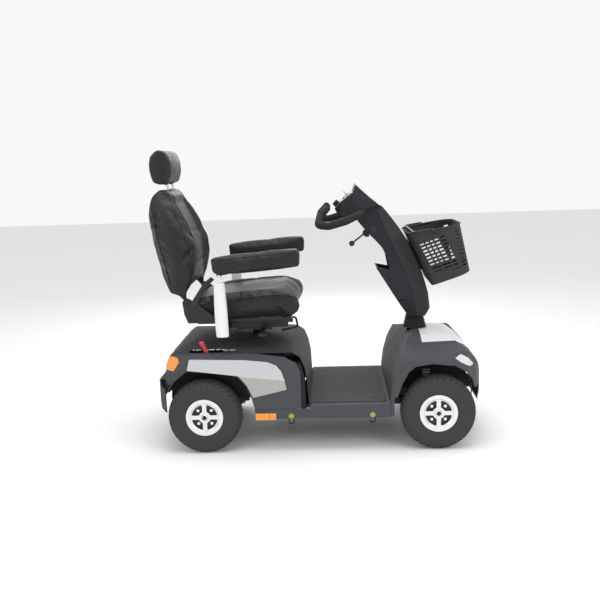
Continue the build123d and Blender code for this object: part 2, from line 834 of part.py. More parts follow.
# ---------------------------------------------------------------------------
# Tiller: housing with its pocket, front cover, basket mount
# ---------------------------------------------------------------------------
split_line = [(884, 496), (862, 610), (822, 716), (784, 800), (738, 900), (716, 966)]
rider_side = [(640, 906), (676, 861), (712, 824), (742, 790), (760, 752), (770, 700), (712, 712),
              (812, 549), (848, 496)]
front_line = [(918, 496), (938, 532), (930, 596), (904, 685), (846, 818), (811, 874), (768, 933),
              (744, 962)]
neck_y = 56
waist_y = 74
foot_y = 50
tiller_front = [
    (-foot_y, 480), (-waist_y, 600), (-waist_y - 4, 720), (-neck_y - 6, 860), (-neck_y, 980),
    (neck_y, 980), (neck_y + 6, 860), (waist_y + 4, 720), (waist_y, 600), (foot_y, 480),
]

tilt_lever_y = 30
tilt_lever_pivot = (668, 850)

# The handlebar is one bar bent into two loops that come back to the rider
bar_r = 11
grip_r = 15.5
loop = [(664, 90, 946), (640, 188, 939), (588, 226, 918), (520, 226, 900), (478, 198, 903),
        (486, 140, 934), (515, 98, 966)]
right_loop = [place(x, -y, z) for x, y, z in loop]
left_loop = [place(x, y, z) for x, y, z in loop]
with BuildPart() as handlebar:
    tube_along([*reversed(right_loop[:-1]), *left_loop[:-1]], bar_r, 26)
handlebar.part.label = "handlebar"
export_step(handlebar.part, "parts/handlebar.step")

with BuildPart() as grips:
    for loop_points in (right_loop, left_loop):
        start = Vector(*loop_points[0]) * 0.45 + Vector(*loop_points[1]) * 0.55
        tube_along([start, *loop_points[1:]], grip_r, 26)
    add(handlebar.part, mode=Mode.SUBTRACT)
grips.part.label = "grips"
export_step(grips.part, "parts/grips.step")

with BuildPart() as tiller_housing:
    with BuildSketch(side):
        outline([*split_line, (690, 962), (655, 946), *rider_side])
    extrude(amount=100, both=True)
    with BuildSketch(from_front(500)):
        outline(tiller_front)
    extrude(amount=500, mode=Mode.INTERSECT)
    fillet(tiller_housing.edges().filter_by(Axis.Y).filter_by(
        lambda edge: edge.center().X - rear_axle_x < 830 and edge.center().Z > 700), radius=2)
    # The pocket opens along the lip on the rider's side
    with BuildSketch(side):
        outline([(690, 742), (717, 713), (808, 566), (840, 566), (776, 702), (765, 753), (740, 760)])
    extrude(amount=waist_y - 6, both=True, mode=Mode.SUBTRACT)
    # The stem that stands on the tilt pin
    with BuildSketch(side):
        outline([(column_x - 14, tilt_z), (column_x - 14, 510), (881.4, 510), (883, 495.8),
                 (column_x + 14, tilt_z)])
        with Locations((column_x, tilt_z)):
            Circle(14)
    extrude(amount=fork_inner - gap, both=True)
    with BuildSketch(side):
        with Locations((column_x, tilt_z)):
            Circle(6 + running)
    extrude(amount=20, both=True, mode=Mode.SUBTRACT)
    # Ears that hold the tilt lever
    for y in (tilt_lever_y - 8.4, tilt_lever_y + 4.4):
        with BuildSketch(side.offset(y)):
            outline([(690, 838), (674, 836), (660, 848), (664, 864), (684, 870)], radius=2)
        extrude(amount=4)
    with BuildSketch(side.offset(tilt_lever_y - 8.4)):
        with Locations(tilt_lever_pivot):
            Circle(3)
    extrude(amount=16.8)
    add(handlebar.part, mode=Mode.SUBTRACT)
tiller_housing.part.label = "tiller_housing"
export_step(tiller_housing.part, "parts/tiller_housing.step")

with BuildPart() as tiller_front_cover:
    with BuildSketch(side):
        outline([*[(x + 0.3, z) for x, z in split_line], *reversed(front_line)])
    extrude(amount=100, both=True)
    with BuildSketch(from_front(500)):
        outline(tiller_front)
    extrude(amount=500, mode=Mode.INTERSECT)
    chamfer(tiller_front_cover.faces().sort_by(Axis.X)[-1].edges().filter_by(Axis.Y, reverse=True), length=8)
tiller_front_cover.part.label = "tiller_front_cover"
export_step(tiller_front_cover.part, "parts/tiller_front_cover.step")

mount_thickness = 8
mount_half = 46
face_start = Vector(849, 812)
face_end = Vector(901, 692)
face_run = (face_end - face_start).normalized()
face_out = Vector(-face_run.Y, face_run.X)
mount_back = [face_start + face_out * 0.3, face_end + face_out * 0.3]
mount_front = [point + face_out * mount_thickness for point in mount_back]
with BuildPart() as basket_mount:
    with BuildSketch(side):
        outline([(p.X, p.Y) for p in (*mount_back, *reversed(mount_front))])
    extrude(amount=mount_half, both=True)
basket_mount.part.label = "basket_mount"
export_step(basket_mount.part, "parts/basket_mount.step")

# ---------------------------------------------------------------------------
# Console: body, silver back cover, dial, key, horn button, throttle lever
# ---------------------------------------------------------------------------
dial_r = 13
button_r = 9
face_slope = Vector(51, 39).normalized()
face_normal = Vector(-face_slope.Y, 0, face_slope.X)
panel_point = (600, 1010.2)
key_plane = Plane(origin=place(panel_point[0], -52, panel_point[1]), z_dir=face_normal)
button_plane = Plane(origin=place(panel_point[0], 52, panel_point[1]), z_dir=face_normal)
dial_slope = Vector(25, 28).normalized()
dial_plane = Plane(origin=place(558.5, 0, 974), z_dir=(-dial_slope.Y, 0, dial_slope.X))
under_slope = Vector(72, 22).normalized()
throttle_plane = Plane(origin=place(606, 0, 933.3), x_dir=(0, 1, 0), z_dir=(under_slope.Y, 0, -under_slope.X))

with BuildPart() as console_body:
    with BuildSketch(side):
        outline([(546, 960), (556, 940), (582, 926), (654, 948), (690, 963.5), (716, 967.5), (734, 966.5),
                 (688, 1005), (633, 1056), (622, 1027), (571, 988)])
    extrude(amount=110, both=True)
    with BuildSketch(plan.offset(900)):
        outline([(540, -70), (572, -96), (620, -104), (700, -84), (750, -60), (750, 60), (700, 84),
                 (620, 104),
                 (572, 96), (540, 70)])
    extrude(amount=200, mode=Mode.INTERSECT)
    with BuildSketch(button_plane.offset(-8)):
        Circle(button_r + gap)
    extrude(amount=30, mode=Mode.SUBTRACT)
    with BuildSketch(key_plane.offset(-6)):
        Circle(5 + gap)
    extrude(amount=20, mode=Mode.SUBTRACT)
    add(handlebar.part, mode=Mode.SUBTRACT)
console_body.part.label = "console_body"
export_step(console_body.part, "parts/console_body.step")

with BuildPart() as console_cover:
    with BuildSketch(side):
        outline([(734.2, 966.6), (747, 969), (700, 1016), (640, 1070), (630, 1066), (633.1, 1056.1),
                 (688.1, 1005.1)])
    extrude(amount=110, both=True)
    with BuildSketch(plan.offset(900)):
        outline([(540, -70), (572, -96), (620, -104), (700, -84), (750, -60), (750, 60), (700, 84),
                 (620, 104),
                 (572, 96), (540, 70)])
    extrude(amount=200, mode=Mode.INTERSECT)
console_cover.part.label = "console_cover"
export_step(console_cover.part, "parts/console_cover.step")

with BuildPart() as speed_dial:
    with BuildSketch(dial_plane.offset(gap)):
        Circle(dial_r)
        with PolarLocations(dial_r, 12):
            Circle(1.2, mode=Mode.SUBTRACT)
    extrude(amount=17)
speed_dial.part.label = "speed_dial"
export_step(speed_dial.part, "parts/speed_dial.step")

with BuildPart() as key:
    with BuildSketch(key_plane.offset(-5)):
        Circle(5)
    extrude(amount=8)
    with BuildSketch(key_plane.offset(3)):
        Rectangle(3, 8)
    extrude(amount=6)
    with BuildSketch(key_plane.offset(9)):
        RectangleRounded(3, 20, 1.4)
    extrude(amount=18)
key.part.label = "key"
export_step(key.part, "parts/key.step")

with BuildPart() as horn_button:
    with BuildSketch(button_plane.offset(-5)):
        Circle(button_r)
    extrude(amount=9)
    chamfer(horn_button.edges().filter_by(GeomType.CIRCLE).sort_by(Axis.Z)[-1], length=1.2)
horn_button.part.label = "horn_button"
export_step(horn_button.part, "parts/horn_button.step")

throttle_reach = 122
with BuildPart() as throttle_lever:
    with BuildSketch(throttle_plane.offset(gap)):
        Circle(12)
        outline([(-throttle_reach, 14), (-60, 8), (0, 11), (60, 8), (throttle_reach, 14),
                 (throttle_reach, -8),
                 (60, -10), (0, -11), (-60, -10), (-throttle_reach, -8)], radius=4)
    extrude(amount=8)
throttle_lever.part.label = "throttle_lever"
export_step(throttle_lever.part, "parts/throttle_lever.step")

with BuildPart() as tilt_lever:
    with BuildSketch(side.offset(tilt_lever_y - 4)):
        with Locations(tilt_lever_pivot):
            Circle(7)
    extrude(amount=8)
    eye = Vector(*place(tilt_lever_pivot[0], -tilt_lever_y, tilt_lever_pivot[1]))
    knob = Vector(*place(615, -tilt_lever_y, 810))
    bar(eye, knob, 3.5)
    with Locations(knob):
        Sphere(11.5)
    with BuildSketch(side.offset(tilt_lever_y - 5)):
        with Locations(tilt_lever_pivot):
            Circle(3 + running)
    extrude(amount=10, mode=Mode.SUBTRACT)
tilt_lever.part.label = "tilt_lever"
export_step(tilt_lever.part, "parts/tilt_lever.step")

flap_y = 62.6
with BuildPart() as charge_flap:
    with BuildSketch(side.offset(flap_y)):
        with Locations((704, 870)):
            Circle(13)
        with Locations((704, 883)):
            Rectangle(12, 4)
    extrude(amount=3)
charge_flap.part.label = "charge_flap"
export_step(charge_flap.part, "parts/charge_flap.step")

# ---------------------------------------------------------------------------
# Basket: a tapered bin that leans with the tiller, with a bail on its rim
# ---------------------------------------------------------------------------
basket_lean = 18
basket_taper = 6
basket_wall = 4
basket_up = Vector(-sin(radians(basket_lean)), 0, cos(radians(basket_lean)))
basket_forward = Vector(cos(radians(basket_lean)), 0, sin(radians(basket_lean)))
basket_base = Plane(origin=place(1017.5, 0, 666), x_dir=basket_forward, z_dir=basket_up)
rim_rear = Vector(*place(842, 0, 853))
rim_front = Vector(*place(1062, 0, 888))
rim_plane = Plane(origin=(rim_rear + rim_front) / 2, x_dir=rim_front - rim_rear, z_dir=(
    Vector(0, 0, 1) - (rim_front - rim_rear).normalized() * (rim_front - rim_rear).normalized().Z))


def basket_form(inset, start, height):
    """The basket's outer form, drawn in by inset and starting above its base."""
    with BuildPart() as form:
        with BuildSketch(basket_base.offset(start)) as floor:
            Rectangle(170 - 2 * inset, 300 - 2 * inset)
            fillet(floor.vertices().group_by(Axis.X)[-1], radius=70)
            fillet(floor.vertices().group_by(Axis.X)[0], radius=20)
        extrude(amount=height, taper=-basket_taper)
    return form.part


bail_r = 4
bail_reach = 92
bail_y = 182
pivot_drop = 9
bail_pivot = rim_plane.offset(-pivot_drop)
with BuildPart() as basket:
    add(basket_form(0, 0, 250))
    add(basket_form(basket_wall, basket_wall, 280), mode=Mode.SUBTRACT)
    with BuildSketch(rim_plane):
        Rectangle(500, 500)
    extrude(amount=200, mode=Mode.SUBTRACT)
    for hand in (-1, 1):
        pin_start = bail_pivot.from_local_coords((0, hand * 168, 0))
        pin_end = bail_pivot.from_local_coords((0, hand * (bail_y + 7), 0))
        bar(pin_start, pin_end, 3)
    add(basket_form(basket_wall, basket_wall, 280), mode=Mode.SUBTRACT)
basket.part.label = "basket"
export_step(basket.part, "parts/basket.step")

bail = [(-5, 3), (-26, pivot_drop + bail_r + 2), (-bail_reach, pivot_drop + bail_r + 2)]
right_arm = [bail_pivot.from_local_coords((u, -bail_y, n)) for u, n in bail]
left_arm = [bail_pivot.from_local_coords((u, bail_y, n)) for u, n in bail]
with BuildPart() as basket_handle:
    tube_along([*right_arm, *reversed(left_arm)], bail_r, 14)
    for hand in (-1, 1):
        bar(bail_pivot.from_local_coords((0, hand * (bail_y - 5), 0)),
            bail_pivot.from_local_coords((0, hand * (bail_y + 5), 0)), 7)
    for hand in (-1, 1):
        with BuildSketch(Plane(origin=bail_pivot.from_local_coords((0, hand * 160, 0)), z_dir=(0, hand, 0))):
            Circle(3 + running)
        extrude(amount=40, mode=Mode.SUBTRACT)
basket_handle.part.label = "basket_handle"
export_step(basket_handle.part, "parts/basket_handle.step")

# ---------------------------------------------------------------------------
# Seat: post, rails, base, cushions, levers and arm rests
# ---------------------------------------------------------------------------
plate_z = 468
rail_top_z = 496
base_z = 522
rail_offset = 105
arm_tube_z = 486
arm_tube_x = 85
arm_tube = 18
sleeve = (120, 214)
post_y = 280

plate_half_y = 118
slide_pivot = (296, 508)
slide_lever_y = 62
slide_eye = 9
slide_pin_r = 3
ear = 4
swivel_lever_x = 236
swivel_pivot = (-124, 470)
swivel_eye = 14
swivel_pin_r = 2.5

with BuildPart() as seat_post:
    with BuildSketch(plan.offset(340)):
        with Locations((seat_post_x, 0)):
            Circle(seat_post_r)
    extrude(amount=plate_z - 340)
    with BuildSketch(plan.offset(plate_z)):
        with Locations((seat_post_x, 0)):
            RectangleRounded(150, 2 * plate_half_y, 12)
    extrude(amount=8)
    # Two ears and a pin for the swivel lever on the plate's right-hand edge
    for start in (-swivel_eye / 2 - gap - ear, swivel_eye / 2 + gap):
        with BuildSketch(from_front(swivel_lever_x + start)):
            with Locations(swivel_pivot):
                Circle(5)
            with Locations((swivel_pivot[0] + 6, plate_z + 3)):
                Rectangle(14, 6)
        extrude(amount=ear)
    with BuildSketch(from_front(swivel_lever_x - swivel_eye / 2 - gap - ear)):
        with Locations(swivel_pivot):
            Circle(swivel_pin_r)
    extrude(amount=swivel_eye + 2 * gap + 2 * ear)
seat_post.part.label = "seat_post"
export_step(seat_post.part, "parts/seat_post.step")

with BuildPart() as seat_rails:
    with BuildSketch(plan.offset(plate_z + 8)):
        for y in (-rail_offset, rail_offset):
            with Locations((seat_post_x - 5, y)):
                Rectangle(290, 22)
    extrude(amount=rail_top_z - plate_z - 8)
seat_rails.part.label = "seat_rails"
export_step(seat_rails.part, "parts/seat_rails.step")

with BuildPart() as seat_base:
    # Upper rails, cross members and the tray under the cushion
    with BuildSketch(plan.offset(rail_top_z + gap)):
        for y in (-rail_offset, rail_offset):
            with Locations((160, y)):
                Rectangle(400, 28)
    extrude(amount=base_z - rail_top_z - gap)
    with BuildSketch(plan.offset(base_z)):
        with Locations((150, 0)):
            RectangleRounded(420, 400, 20)
    extrude(amount=cushion_base_z - base_z)
    # Sleeves that the arm tubes slide in, hung from the tray
    for hand in (-1, 1):
        with BuildSketch(side.offset(hand * sleeve[0])):
            with Locations((arm_tube_x, arm_tube_z)):
                Rectangle(arm_tube + 6, arm_tube + 6)
            with Locations((arm_tube_x, (arm_tube_z + base_z) / 2)):
                Rectangle(16, base_z - arm_tube_z)
        extrude(amount=hand * (sleeve[1] - sleeve[0]))
        with BuildSketch(side.offset(hand * (sleeve[0] - 4))):
            with Locations((arm_tube_x, arm_tube_z)):
                Rectangle(arm_tube + 2 * gap, arm_tube + 2 * gap)
        extrude(amount=hand * 100, mode=Mode.SUBTRACT)
        # Side plates that carry the backrest pivot
        with BuildSketch(side.offset(hand * 231)) as plate:
            outline([(-78, 612), (-64, 630), (-44, 622), (52, 548), (60, base_z + 2),
                     (-58, base_z + 2), (-72, 560)], radius=6)
        extrude(amount=hand * 6)
        with BuildSketch(side.offset(hand * 190)):
            outline([(-50, base_z + 2), (-50, base_z + 8), (56, base_z + 8), (56, base_z + 2)])
        extrude(amount=hand * 44)
        with BuildSketch(side.offset(hand * 218)):
            with Locations(back_pivot):
                Circle(6)
        extrude(amount=hand * 22)
    # Two ears and a pin for the slide lever, under the tray
    for start in (slide_lever_y - slide_eye / 2 - gap - ear, slide_lever_y + slide_eye / 2 + gap):
        with BuildSketch(side.offset(start)):
            with Locations(slide_pivot):
                Circle(8)
            with Locations((slide_pivot[0], (slide_pivot[1] + base_z) / 2)):
                Rectangle(14, base_z - slide_pivot[1] + 2)
        extrude(amount=ear)
    with BuildSketch(side.offset(slide_lever_y - slide_eye / 2 - gap - ear)):
        with Locations(slide_pivot):
            Circle(slide_pin_r)
    extrude(amount=slide_eye + 2 * gap + 2 * ear)
seat_base.part.label = "seat_base"
export_step(seat_base.part, "parts/seat_base.step")

with BuildPart() as seat_cushion:
    with BuildSketch(side):
        outline([(-70, cushion_base_z), (-76, 585), (-40, 596), (60, 618), (200, 632), (330, 640),
                 (384, 632),
                 (404, 600), (398, 562), (372, cushion_base_z)], radius=12)
    extrude(amount=240, both=True)
    for hand in (-1, 1):
        with BuildSketch(side.offset(hand * 226)):
            outline([(-120, 500), (-120, 700), (70, 700), (70, 500)])
        extrude(amount=hand * 40, mode=Mode.SUBTRACT)
seat_cushion.part.label = "seat_cushion"
export_step(seat_cushion.part, "parts/seat_cushion.step")

back_half = 220
post_offset = 52
with BuildPart() as backrest:
    with BuildSketch(side):
        outline([(-196, 1046), (-203, 1002), (-180, 851), (-134, 640), (-104, 628), (-60, 648), (-36, 690),
                 (-26, 776), (-34, 850), (-66, 930), (-128, 1070), (-165, 1074)], radius=14)
    extrude(amount=back_half, both=True)
    with BuildSketch(from_front(-300)):
        outline([(-back_half, 600), (-back_half, 900), (-190, 1010), (-130, 1080), (130, 1080), (190, 1010),
                 (back_half, 900), (back_half, 600)], radius=25)
    extrude(amount=400, mode=Mode.INTERSECT)
    # Hinge lugs on the frame inside the backrest
    for hand in (-1, 1):
        with BuildSketch(side.offset(hand * 218)):
            outline([(-110, 680), (-110, 640), (-76, 604), (-58, 600), (-50, 612), (-52, 690)], radius=4)
        extrude(amount=hand * 10)
    with BuildSketch(side):
        with Locations(back_pivot):
            Circle(6 + running)
    extrude(amount=300, both=True, mode=Mode.SUBTRACT)
    # Guides that the headrest rods slide in
    for y in (-post_offset, post_offset):
        with BuildSketch(Plane(origin=place(-148, y, 1100), x_dir=(1, 0, 0), z_dir=(0, 0, -1))):
            Circle(5.5)
        extrude(amount=150, mode=Mode.SUBTRACT)
backrest.part.label = "backrest"
export_step(backrest.part, "parts/backrest.step")

with BuildPart() as headrest:
    with BuildSketch(side):
        outline([(-194, 1082), (-209, 1150), (-204, 1196), (-172, 1224), (-138, 1218), (-119, 1180),
                 (-117, 1130),
                 (-130, 1083)], radius=16)
    extrude(amount=130, both=True)
    for y in (-post_offset, post_offset):
        with BuildSketch(Plane(origin=place(-148, y, 970), x_dir=(1, 0, 0), z_dir=(0, 0, 1))):
            Circle(5)
        extrude(amount=120)
headrest.part.label = "headrest"
export_step(headrest.part, "parts/headrest.step")

with BuildPart() as slide_lever:
    tube_along(
        [place(slide_pivot[0], -slide_lever_y, slide_pivot[1]), place(370, -slide_lever_y, 506),
         place(378, -slide_lever_y, 464), place(308, -slide_lever_y, 452)],
        4.5, 12,
    )
    with BuildSketch(side.offset(slide_lever_y - slide_eye / 2)):
        with Locations(slide_pivot):
            Circle(8)
    extrude(amount=slide_eye)
    with BuildSketch(side.offset(slide_lever_y)):
        with Locations(slide_pivot):
            Circle(slide_pin_r + running)
    extrude(amount=slide_eye, both=True, mode=Mode.SUBTRACT)
slide_lever.part.label = "slide_lever"
export_step(slide_lever.part, "parts/slide_lever.step")

with BuildPart() as swivel_lever:
    with BuildSketch(side.offset(-swivel_pivot[0])):
        with Locations((swivel_lever_x, swivel_pivot[1])):
            Rectangle(swivel_eye, 7)
    extrude(amount=188 + swivel_pivot[0])
    with BuildSketch(from_front(swivel_lever_x - swivel_eye / 2)):
        with Locations(swivel_pivot):
            Circle(4.5)
    extrude(amount=swivel_eye)
    with BuildSketch(from_front(swivel_lever_x - swivel_eye)):
        with Locations(swivel_pivot):
            Circle(swivel_pin_r + running)
    extrude(amount=2 * swivel_eye, mode=Mode.SUBTRACT)
    with BuildSketch(side.offset(188)):
        with Locations((240, plate_z + 1)):
            SlotOverall(34, 11)
    extrude(amount=52)
swivel_lever.part.label = "swivel_lever"
export_step(swivel_lever.part, "parts/swivel_lever.step")

with BuildPart() as recline_lever:
    with BuildSketch(side.offset(237.6)):
        with Locations((-34, 604)):
            Circle(11)
        outline([(-42, 610), (14, 690), (44, 712), (58, 702), (30, 676), (-26, 597)], radius=4)
    extrude(amount=5)
recline_lever.part.label = "recline_lever"
export_step(recline_lever.part, "parts/recline_lever.step")

pivot_pin = 5
lug = 5
for name, hand in (("right", 1), ("left", -1)):
    # hand follows the side plane, whose normal points to the right
    with BuildPart() as arm_post:
        with BuildSketch(plan.offset(arm_tube_z - 10)):
            with Locations((86, -hand * post_y)):
                Ellipse(25, 17)
        with BuildSketch(plan.offset(545)):
            with Locations((84, -hand * post_y)):
                Ellipse(26, 17)
        with BuildSketch(plan.offset(692)):
            with Locations((82, -hand * post_y)):
                Ellipse(21, 14)
        loft()
        with BuildSketch(side.offset(hand * (post_y - lug))):
            with Locations(arm_pivot):
                Circle(12)
            with Locations((arm_pivot[0], (690 + arm_pivot[1]) / 2)):
                Rectangle(20, arm_pivot[1] - 690)
        extrude(amount=hand * 2 * lug)
        with BuildSketch(side.offset(hand * (post_y - 12))):
            with Locations(arm_pivot):
                Circle(pivot_pin)
        extrude(amount=hand * 24)
        with BuildSketch(side.offset(hand * 140)):
            with Locations((arm_tube_x, arm_tube_z)):
                Rectangle(arm_tube, arm_tube)
        extrude(amount=hand * (post_y - 140))
    arm_post.part.label = f"arm_post_{name}"
    export_step(arm_post.part, f"parts/arm_post_{name}.step")

    with BuildPart() as arm_pad:
        with BuildSketch(side.offset(hand * (pad_y - 30))):
            outline([(53, 793), (58, 740), (72, 728), (150, 731), (403, 752), (406, 806),
                     (394, 821)], radius=6)
        extrude(amount=hand * 60)
        with BuildSketch(side.offset(hand * (post_y - lug - gap))):
            with Locations((arm_pivot[0], arm_pivot[1] + 4)):
                Rectangle(40, 28)
        extrude(amount=hand * 2 * (lug + gap), mode=Mode.SUBTRACT)
        for start in (post_y - lug - gap - 5, post_y + lug + gap):
            with BuildSketch(side.offset(hand * start)):
                with Locations(arm_pivot):
                    Circle(11)
                with Locations((arm_pivot[0] + 12, arm_pivot[1] + 8)):
                    Rectangle(44, 10)
            extrude(amount=hand * 5)
        with BuildSketch(side.offset(hand * (post_y - 14))):
            with Locations(arm_pivot):
                Circle(pivot_pin + running)
        extrude(amount=hand * 28, mode=Mode.SUBTRACT)
    arm_pad.part.label = f"arm_pad_{name}"
    export_step(arm_pad.part, f"parts/arm_pad_{name}.step")
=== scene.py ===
"""Mobility scooter: upholstery, tyres, basket, trim and finishes round its CAD frame."""

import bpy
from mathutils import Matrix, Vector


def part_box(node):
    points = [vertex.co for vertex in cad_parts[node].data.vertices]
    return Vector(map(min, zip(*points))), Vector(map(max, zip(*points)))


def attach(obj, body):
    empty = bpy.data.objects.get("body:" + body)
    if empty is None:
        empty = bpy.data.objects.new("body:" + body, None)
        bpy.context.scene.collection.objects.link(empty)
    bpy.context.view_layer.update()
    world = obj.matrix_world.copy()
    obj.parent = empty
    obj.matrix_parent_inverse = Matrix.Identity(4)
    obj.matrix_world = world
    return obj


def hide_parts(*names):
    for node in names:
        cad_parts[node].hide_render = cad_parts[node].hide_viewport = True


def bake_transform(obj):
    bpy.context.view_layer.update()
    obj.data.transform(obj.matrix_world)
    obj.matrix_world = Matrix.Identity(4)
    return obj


bl_info = {
    "name": "Mobility Scooter",
    "version": (1, 0, 0),
    "blender": (4, 5, 0),
    "location": "View3D > Sidebar > Scooter",
    "description": "Dresses the scooter's frame with its soft parts, trim and finishes",
    "category": "Object",
}

import math

import bmesh
import bpy
from bpy.props import FloatProperty, FloatVectorProperty, IntProperty, PointerProperty
from mathutils import Matrix, Vector
from mathutils.bvhtree import BVHTree

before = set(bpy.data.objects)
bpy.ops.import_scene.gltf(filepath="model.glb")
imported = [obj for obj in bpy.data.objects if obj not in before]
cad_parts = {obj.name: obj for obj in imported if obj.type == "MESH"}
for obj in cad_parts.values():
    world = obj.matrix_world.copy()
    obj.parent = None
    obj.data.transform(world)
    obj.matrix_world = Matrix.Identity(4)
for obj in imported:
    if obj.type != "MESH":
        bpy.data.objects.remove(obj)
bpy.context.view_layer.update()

REAR_AXLE = -0.462
NEAR = -1
FAR = 1
SIDES = (("right", NEAR), ("left", FAR))

# Millimetres
WHEEL_OUT = 276
AXLE_HEIGHT = 150
COLUMN_AHEAD = 878
SKIRT_OUT = 305.2
OUTSIDE = 330

# Metres
WELD_GAP = 0.00002
SEAM_STEP = 0.02

LENS = 46.32
SENSOR = 36
YAW, PITCH, ROLL = -0.0439, -0.1716, -0.0328


def at(x, y, z):
    """A point from millimetres ahead of the rear axle, left of centre and above the floor."""
    return Vector((REAR_AXLE + x / 1000, y / 1000, z / 1000))


# ---------------------------------------------------------------- shader tools


class Shade:
    """A number or colour inside a finish. Arithmetic on it adds Math nodes."""

    def __init__(self, finish, socket):
        self.finish = finish
        self.socket = socket

    def math(self, operation, *values):
        return self.finish.node("ShaderNodeMath", {"operation": operation}, dict(enumerate(values)))

    def __add__(self, other):
        return self.math("ADD", self, other)

    def __radd__(self, other):
        return self.math("ADD", other, self)

    def __sub__(self, other):
        return self.math("SUBTRACT", self, other)

    def __rsub__(self, other):
        return self.math("SUBTRACT", other, self)

    def __mul__(self, other):
        return self.math("MULTIPLY", self, other)

    def __rmul__(self, other):
        return self.math("MULTIPLY", other, self)

    def __truediv__(self, other):
        return self.math("DIVIDE", self, other)

    def size(self):
        return self.math("ABSOLUTE", self)

    def fraction(self):
        return self.math("FRACT", self)

    def larger(self, other):
        return self.math("MAXIMUM", self, other)

    def rise(self, low, high):
        """0 below low, 1 above high, smooth between."""
        return self.finish.node("ShaderNodeMapRange", {"interpolation_type": "SMOOTHSTEP"},
                                {"Value": self, "From Min": low, "From Max": high})


class Finish:
    """One procedural material, built round a Principled shader."""

    def __init__(self, name):
        self.material = bpy.data.materials.new(name)
        self.material.use_nodes = True
        self.tree = self.material.node_tree
        self.tree.nodes.clear()
        self.place = self.node("ShaderNodeTexCoord", output="Object")

    def node(self, kind, settings=None, inputs=None, output=0):
        """Adds a node: its settings first, then its sockets' values or links."""
        node = self.tree.nodes.new(kind)
        for key, value in (settings or {}).items():
            setattr(node, key, value)
        for key, value in (inputs or {}).items():
            if isinstance(value, Shade):
                self.tree.links.new(value.socket, node.inputs[key])
            else:
                node.inputs[key].default_value = value
        return Shade(self, node.outputs[output])

    def axis(self, index):
        """One of the object's own x, y or z, in metres."""
        return self.node("ShaderNodeSeparateXYZ", None, {0: self.place}, index)

    def noise(self, scale, detail=2.0, vector=None):
        return self.node("ShaderNodeTexNoise", None,
                         {"Vector": vector or self.place, "Scale": scale, "Detail": detail})

    def cells(self, scale):
        return self.node("ShaderNodeTexVoronoi", {"feature": "F1"}, {"Vector": self.place, "Scale": scale})

    def stretched(self, x, y, z):
        return self.node("ShaderNodeVectorMath", {"operation": "MULTIPLY"}, {0: self.place, 1: (x, y, z)})

    def mix(self, factor, low, high):
        return self.node("ShaderNodeMix", {"data_type": "RGBA"}, {0: factor, 6: low, 7: high}, 2)

    def bump(self, height, distance, strength=1.0):
        return self.node("ShaderNodeBump", None,
                         {"Height": height, "Distance": distance, "Strength": strength})

    def surface(self, **inputs):
        """Sets the shader's sockets and joins it to the output."""
        names = {key.replace("_", " "): value for key, value in inputs.items()}
        shader = self.node("ShaderNodeBsdfPrincipled", None, names)
        out = self.tree.nodes.new("ShaderNodeOutputMaterial")
        self.tree.links.new(shader.socket, out.inputs["Surface"])
        return self.material


def tint(colour, factor):
    """The colour made lighter or darker, with alpha."""
    return (*[min(1.0, part * factor) for part in colour[:3]], 1.0)


# -------------------------------------------------------------------- finishes


def moulded(name, colour, roughness=0.45, grain=0.00005, coat=0.0):
    """Moulded plastic with a spark-eroded grain, slight mottling and scuffs."""
    f = Finish(name)
    mottle = f.noise(6, 3)
    fine = f.noise(1400, 2)
    scuff = f.noise(55, 6).rise(0.62, 0.78)
    colour_now = f.mix(mottle, tint(colour, 0.85), tint(colour, 1.18))
    return f.surface(
        Base_Color=f.mix(scuff * 0.25, colour_now, tint(colour, 1.9)),
        Roughness=roughness + (mottle - 0.5) * 0.16 + scuff * 0.08,
        Coat_Weight=coat, Coat_Roughness=0.2, Specular_IOR_Level=0.32,
        Normal=f.bump(fine, grain))


def vinyl(name, colour):
    """Coated seat vinyl: pebbled grain, soft creases and slightly polished wear."""
    f = Finish(name)
    pebble = f.cells(620)
    crease = f.noise(26, 5)
    worn = f.noise(9, 3).rise(0.45, 0.7)
    return f.surface(
        Base_Color=f.mix(worn, tint(colour, 0.85), tint(colour, 1.35)),
        Roughness=0.44 + pebble * 0.12 - worn * 0.1,
        Sheen_Weight=0.05, Sheen_Roughness=0.4, Specular_IOR_Level=0.4,
        Normal=f.bump(pebble * 0.35 + crease, 0.0009, 0.55))


def silver_paint(name, colour, roughness=0.34):
    """Metallic paint over plastic: fine flake, orange peel and a clear coat."""
    f = Finish(name)
    flake = f.noise(2600, 1)
    peel = f.noise(180, 2)
    cloud = f.noise(5, 2)
    return f.surface(
        Base_Color=f.mix(flake * 0.6 + cloud * 0.4, tint(colour, 0.84), tint(colour, 1.12)),
        Metallic=0.62, Roughness=roughness + (flake - 0.5) * 0.2,
        Coat_Weight=0.35, Coat_Roughness=0.12,
        Normal=f.bump(peel, 0.00006))


def body_side_paint(name, colour, reflection_colour):
    """The side panel's silver, with a painted reflection: below its crease the panel is painted a cream-grey
    that stands in for the pale light reflected there.
    """
    f = Finish(name)
    x, z = f.axis(0), f.axis(2)
    crease = 0.318 - (x - (REAR_AXLE + 0.139)) * 0.112
    # Painted reflection: this mask picks out the panel below the crease, where the reflected light is
    # painted into the colour.
    below = (crease - z).rise(0.0, 0.0015)
    flake = f.noise(2600, 1)
    silver = f.mix(flake, tint(colour, 0.9), tint(colour, 1.1))
    return f.surface(
        Base_Color=f.mix(below, silver, tint(reflection_colour, 1.0)),
        Metallic=0.5, Roughness=0.36 + below * 0.1 + (flake - 0.5) * 0.12,
        Coat_Weight=0.3, Coat_Roughness=0.12,
        Normal=f.bump(f.noise(180, 2), 0.00006))


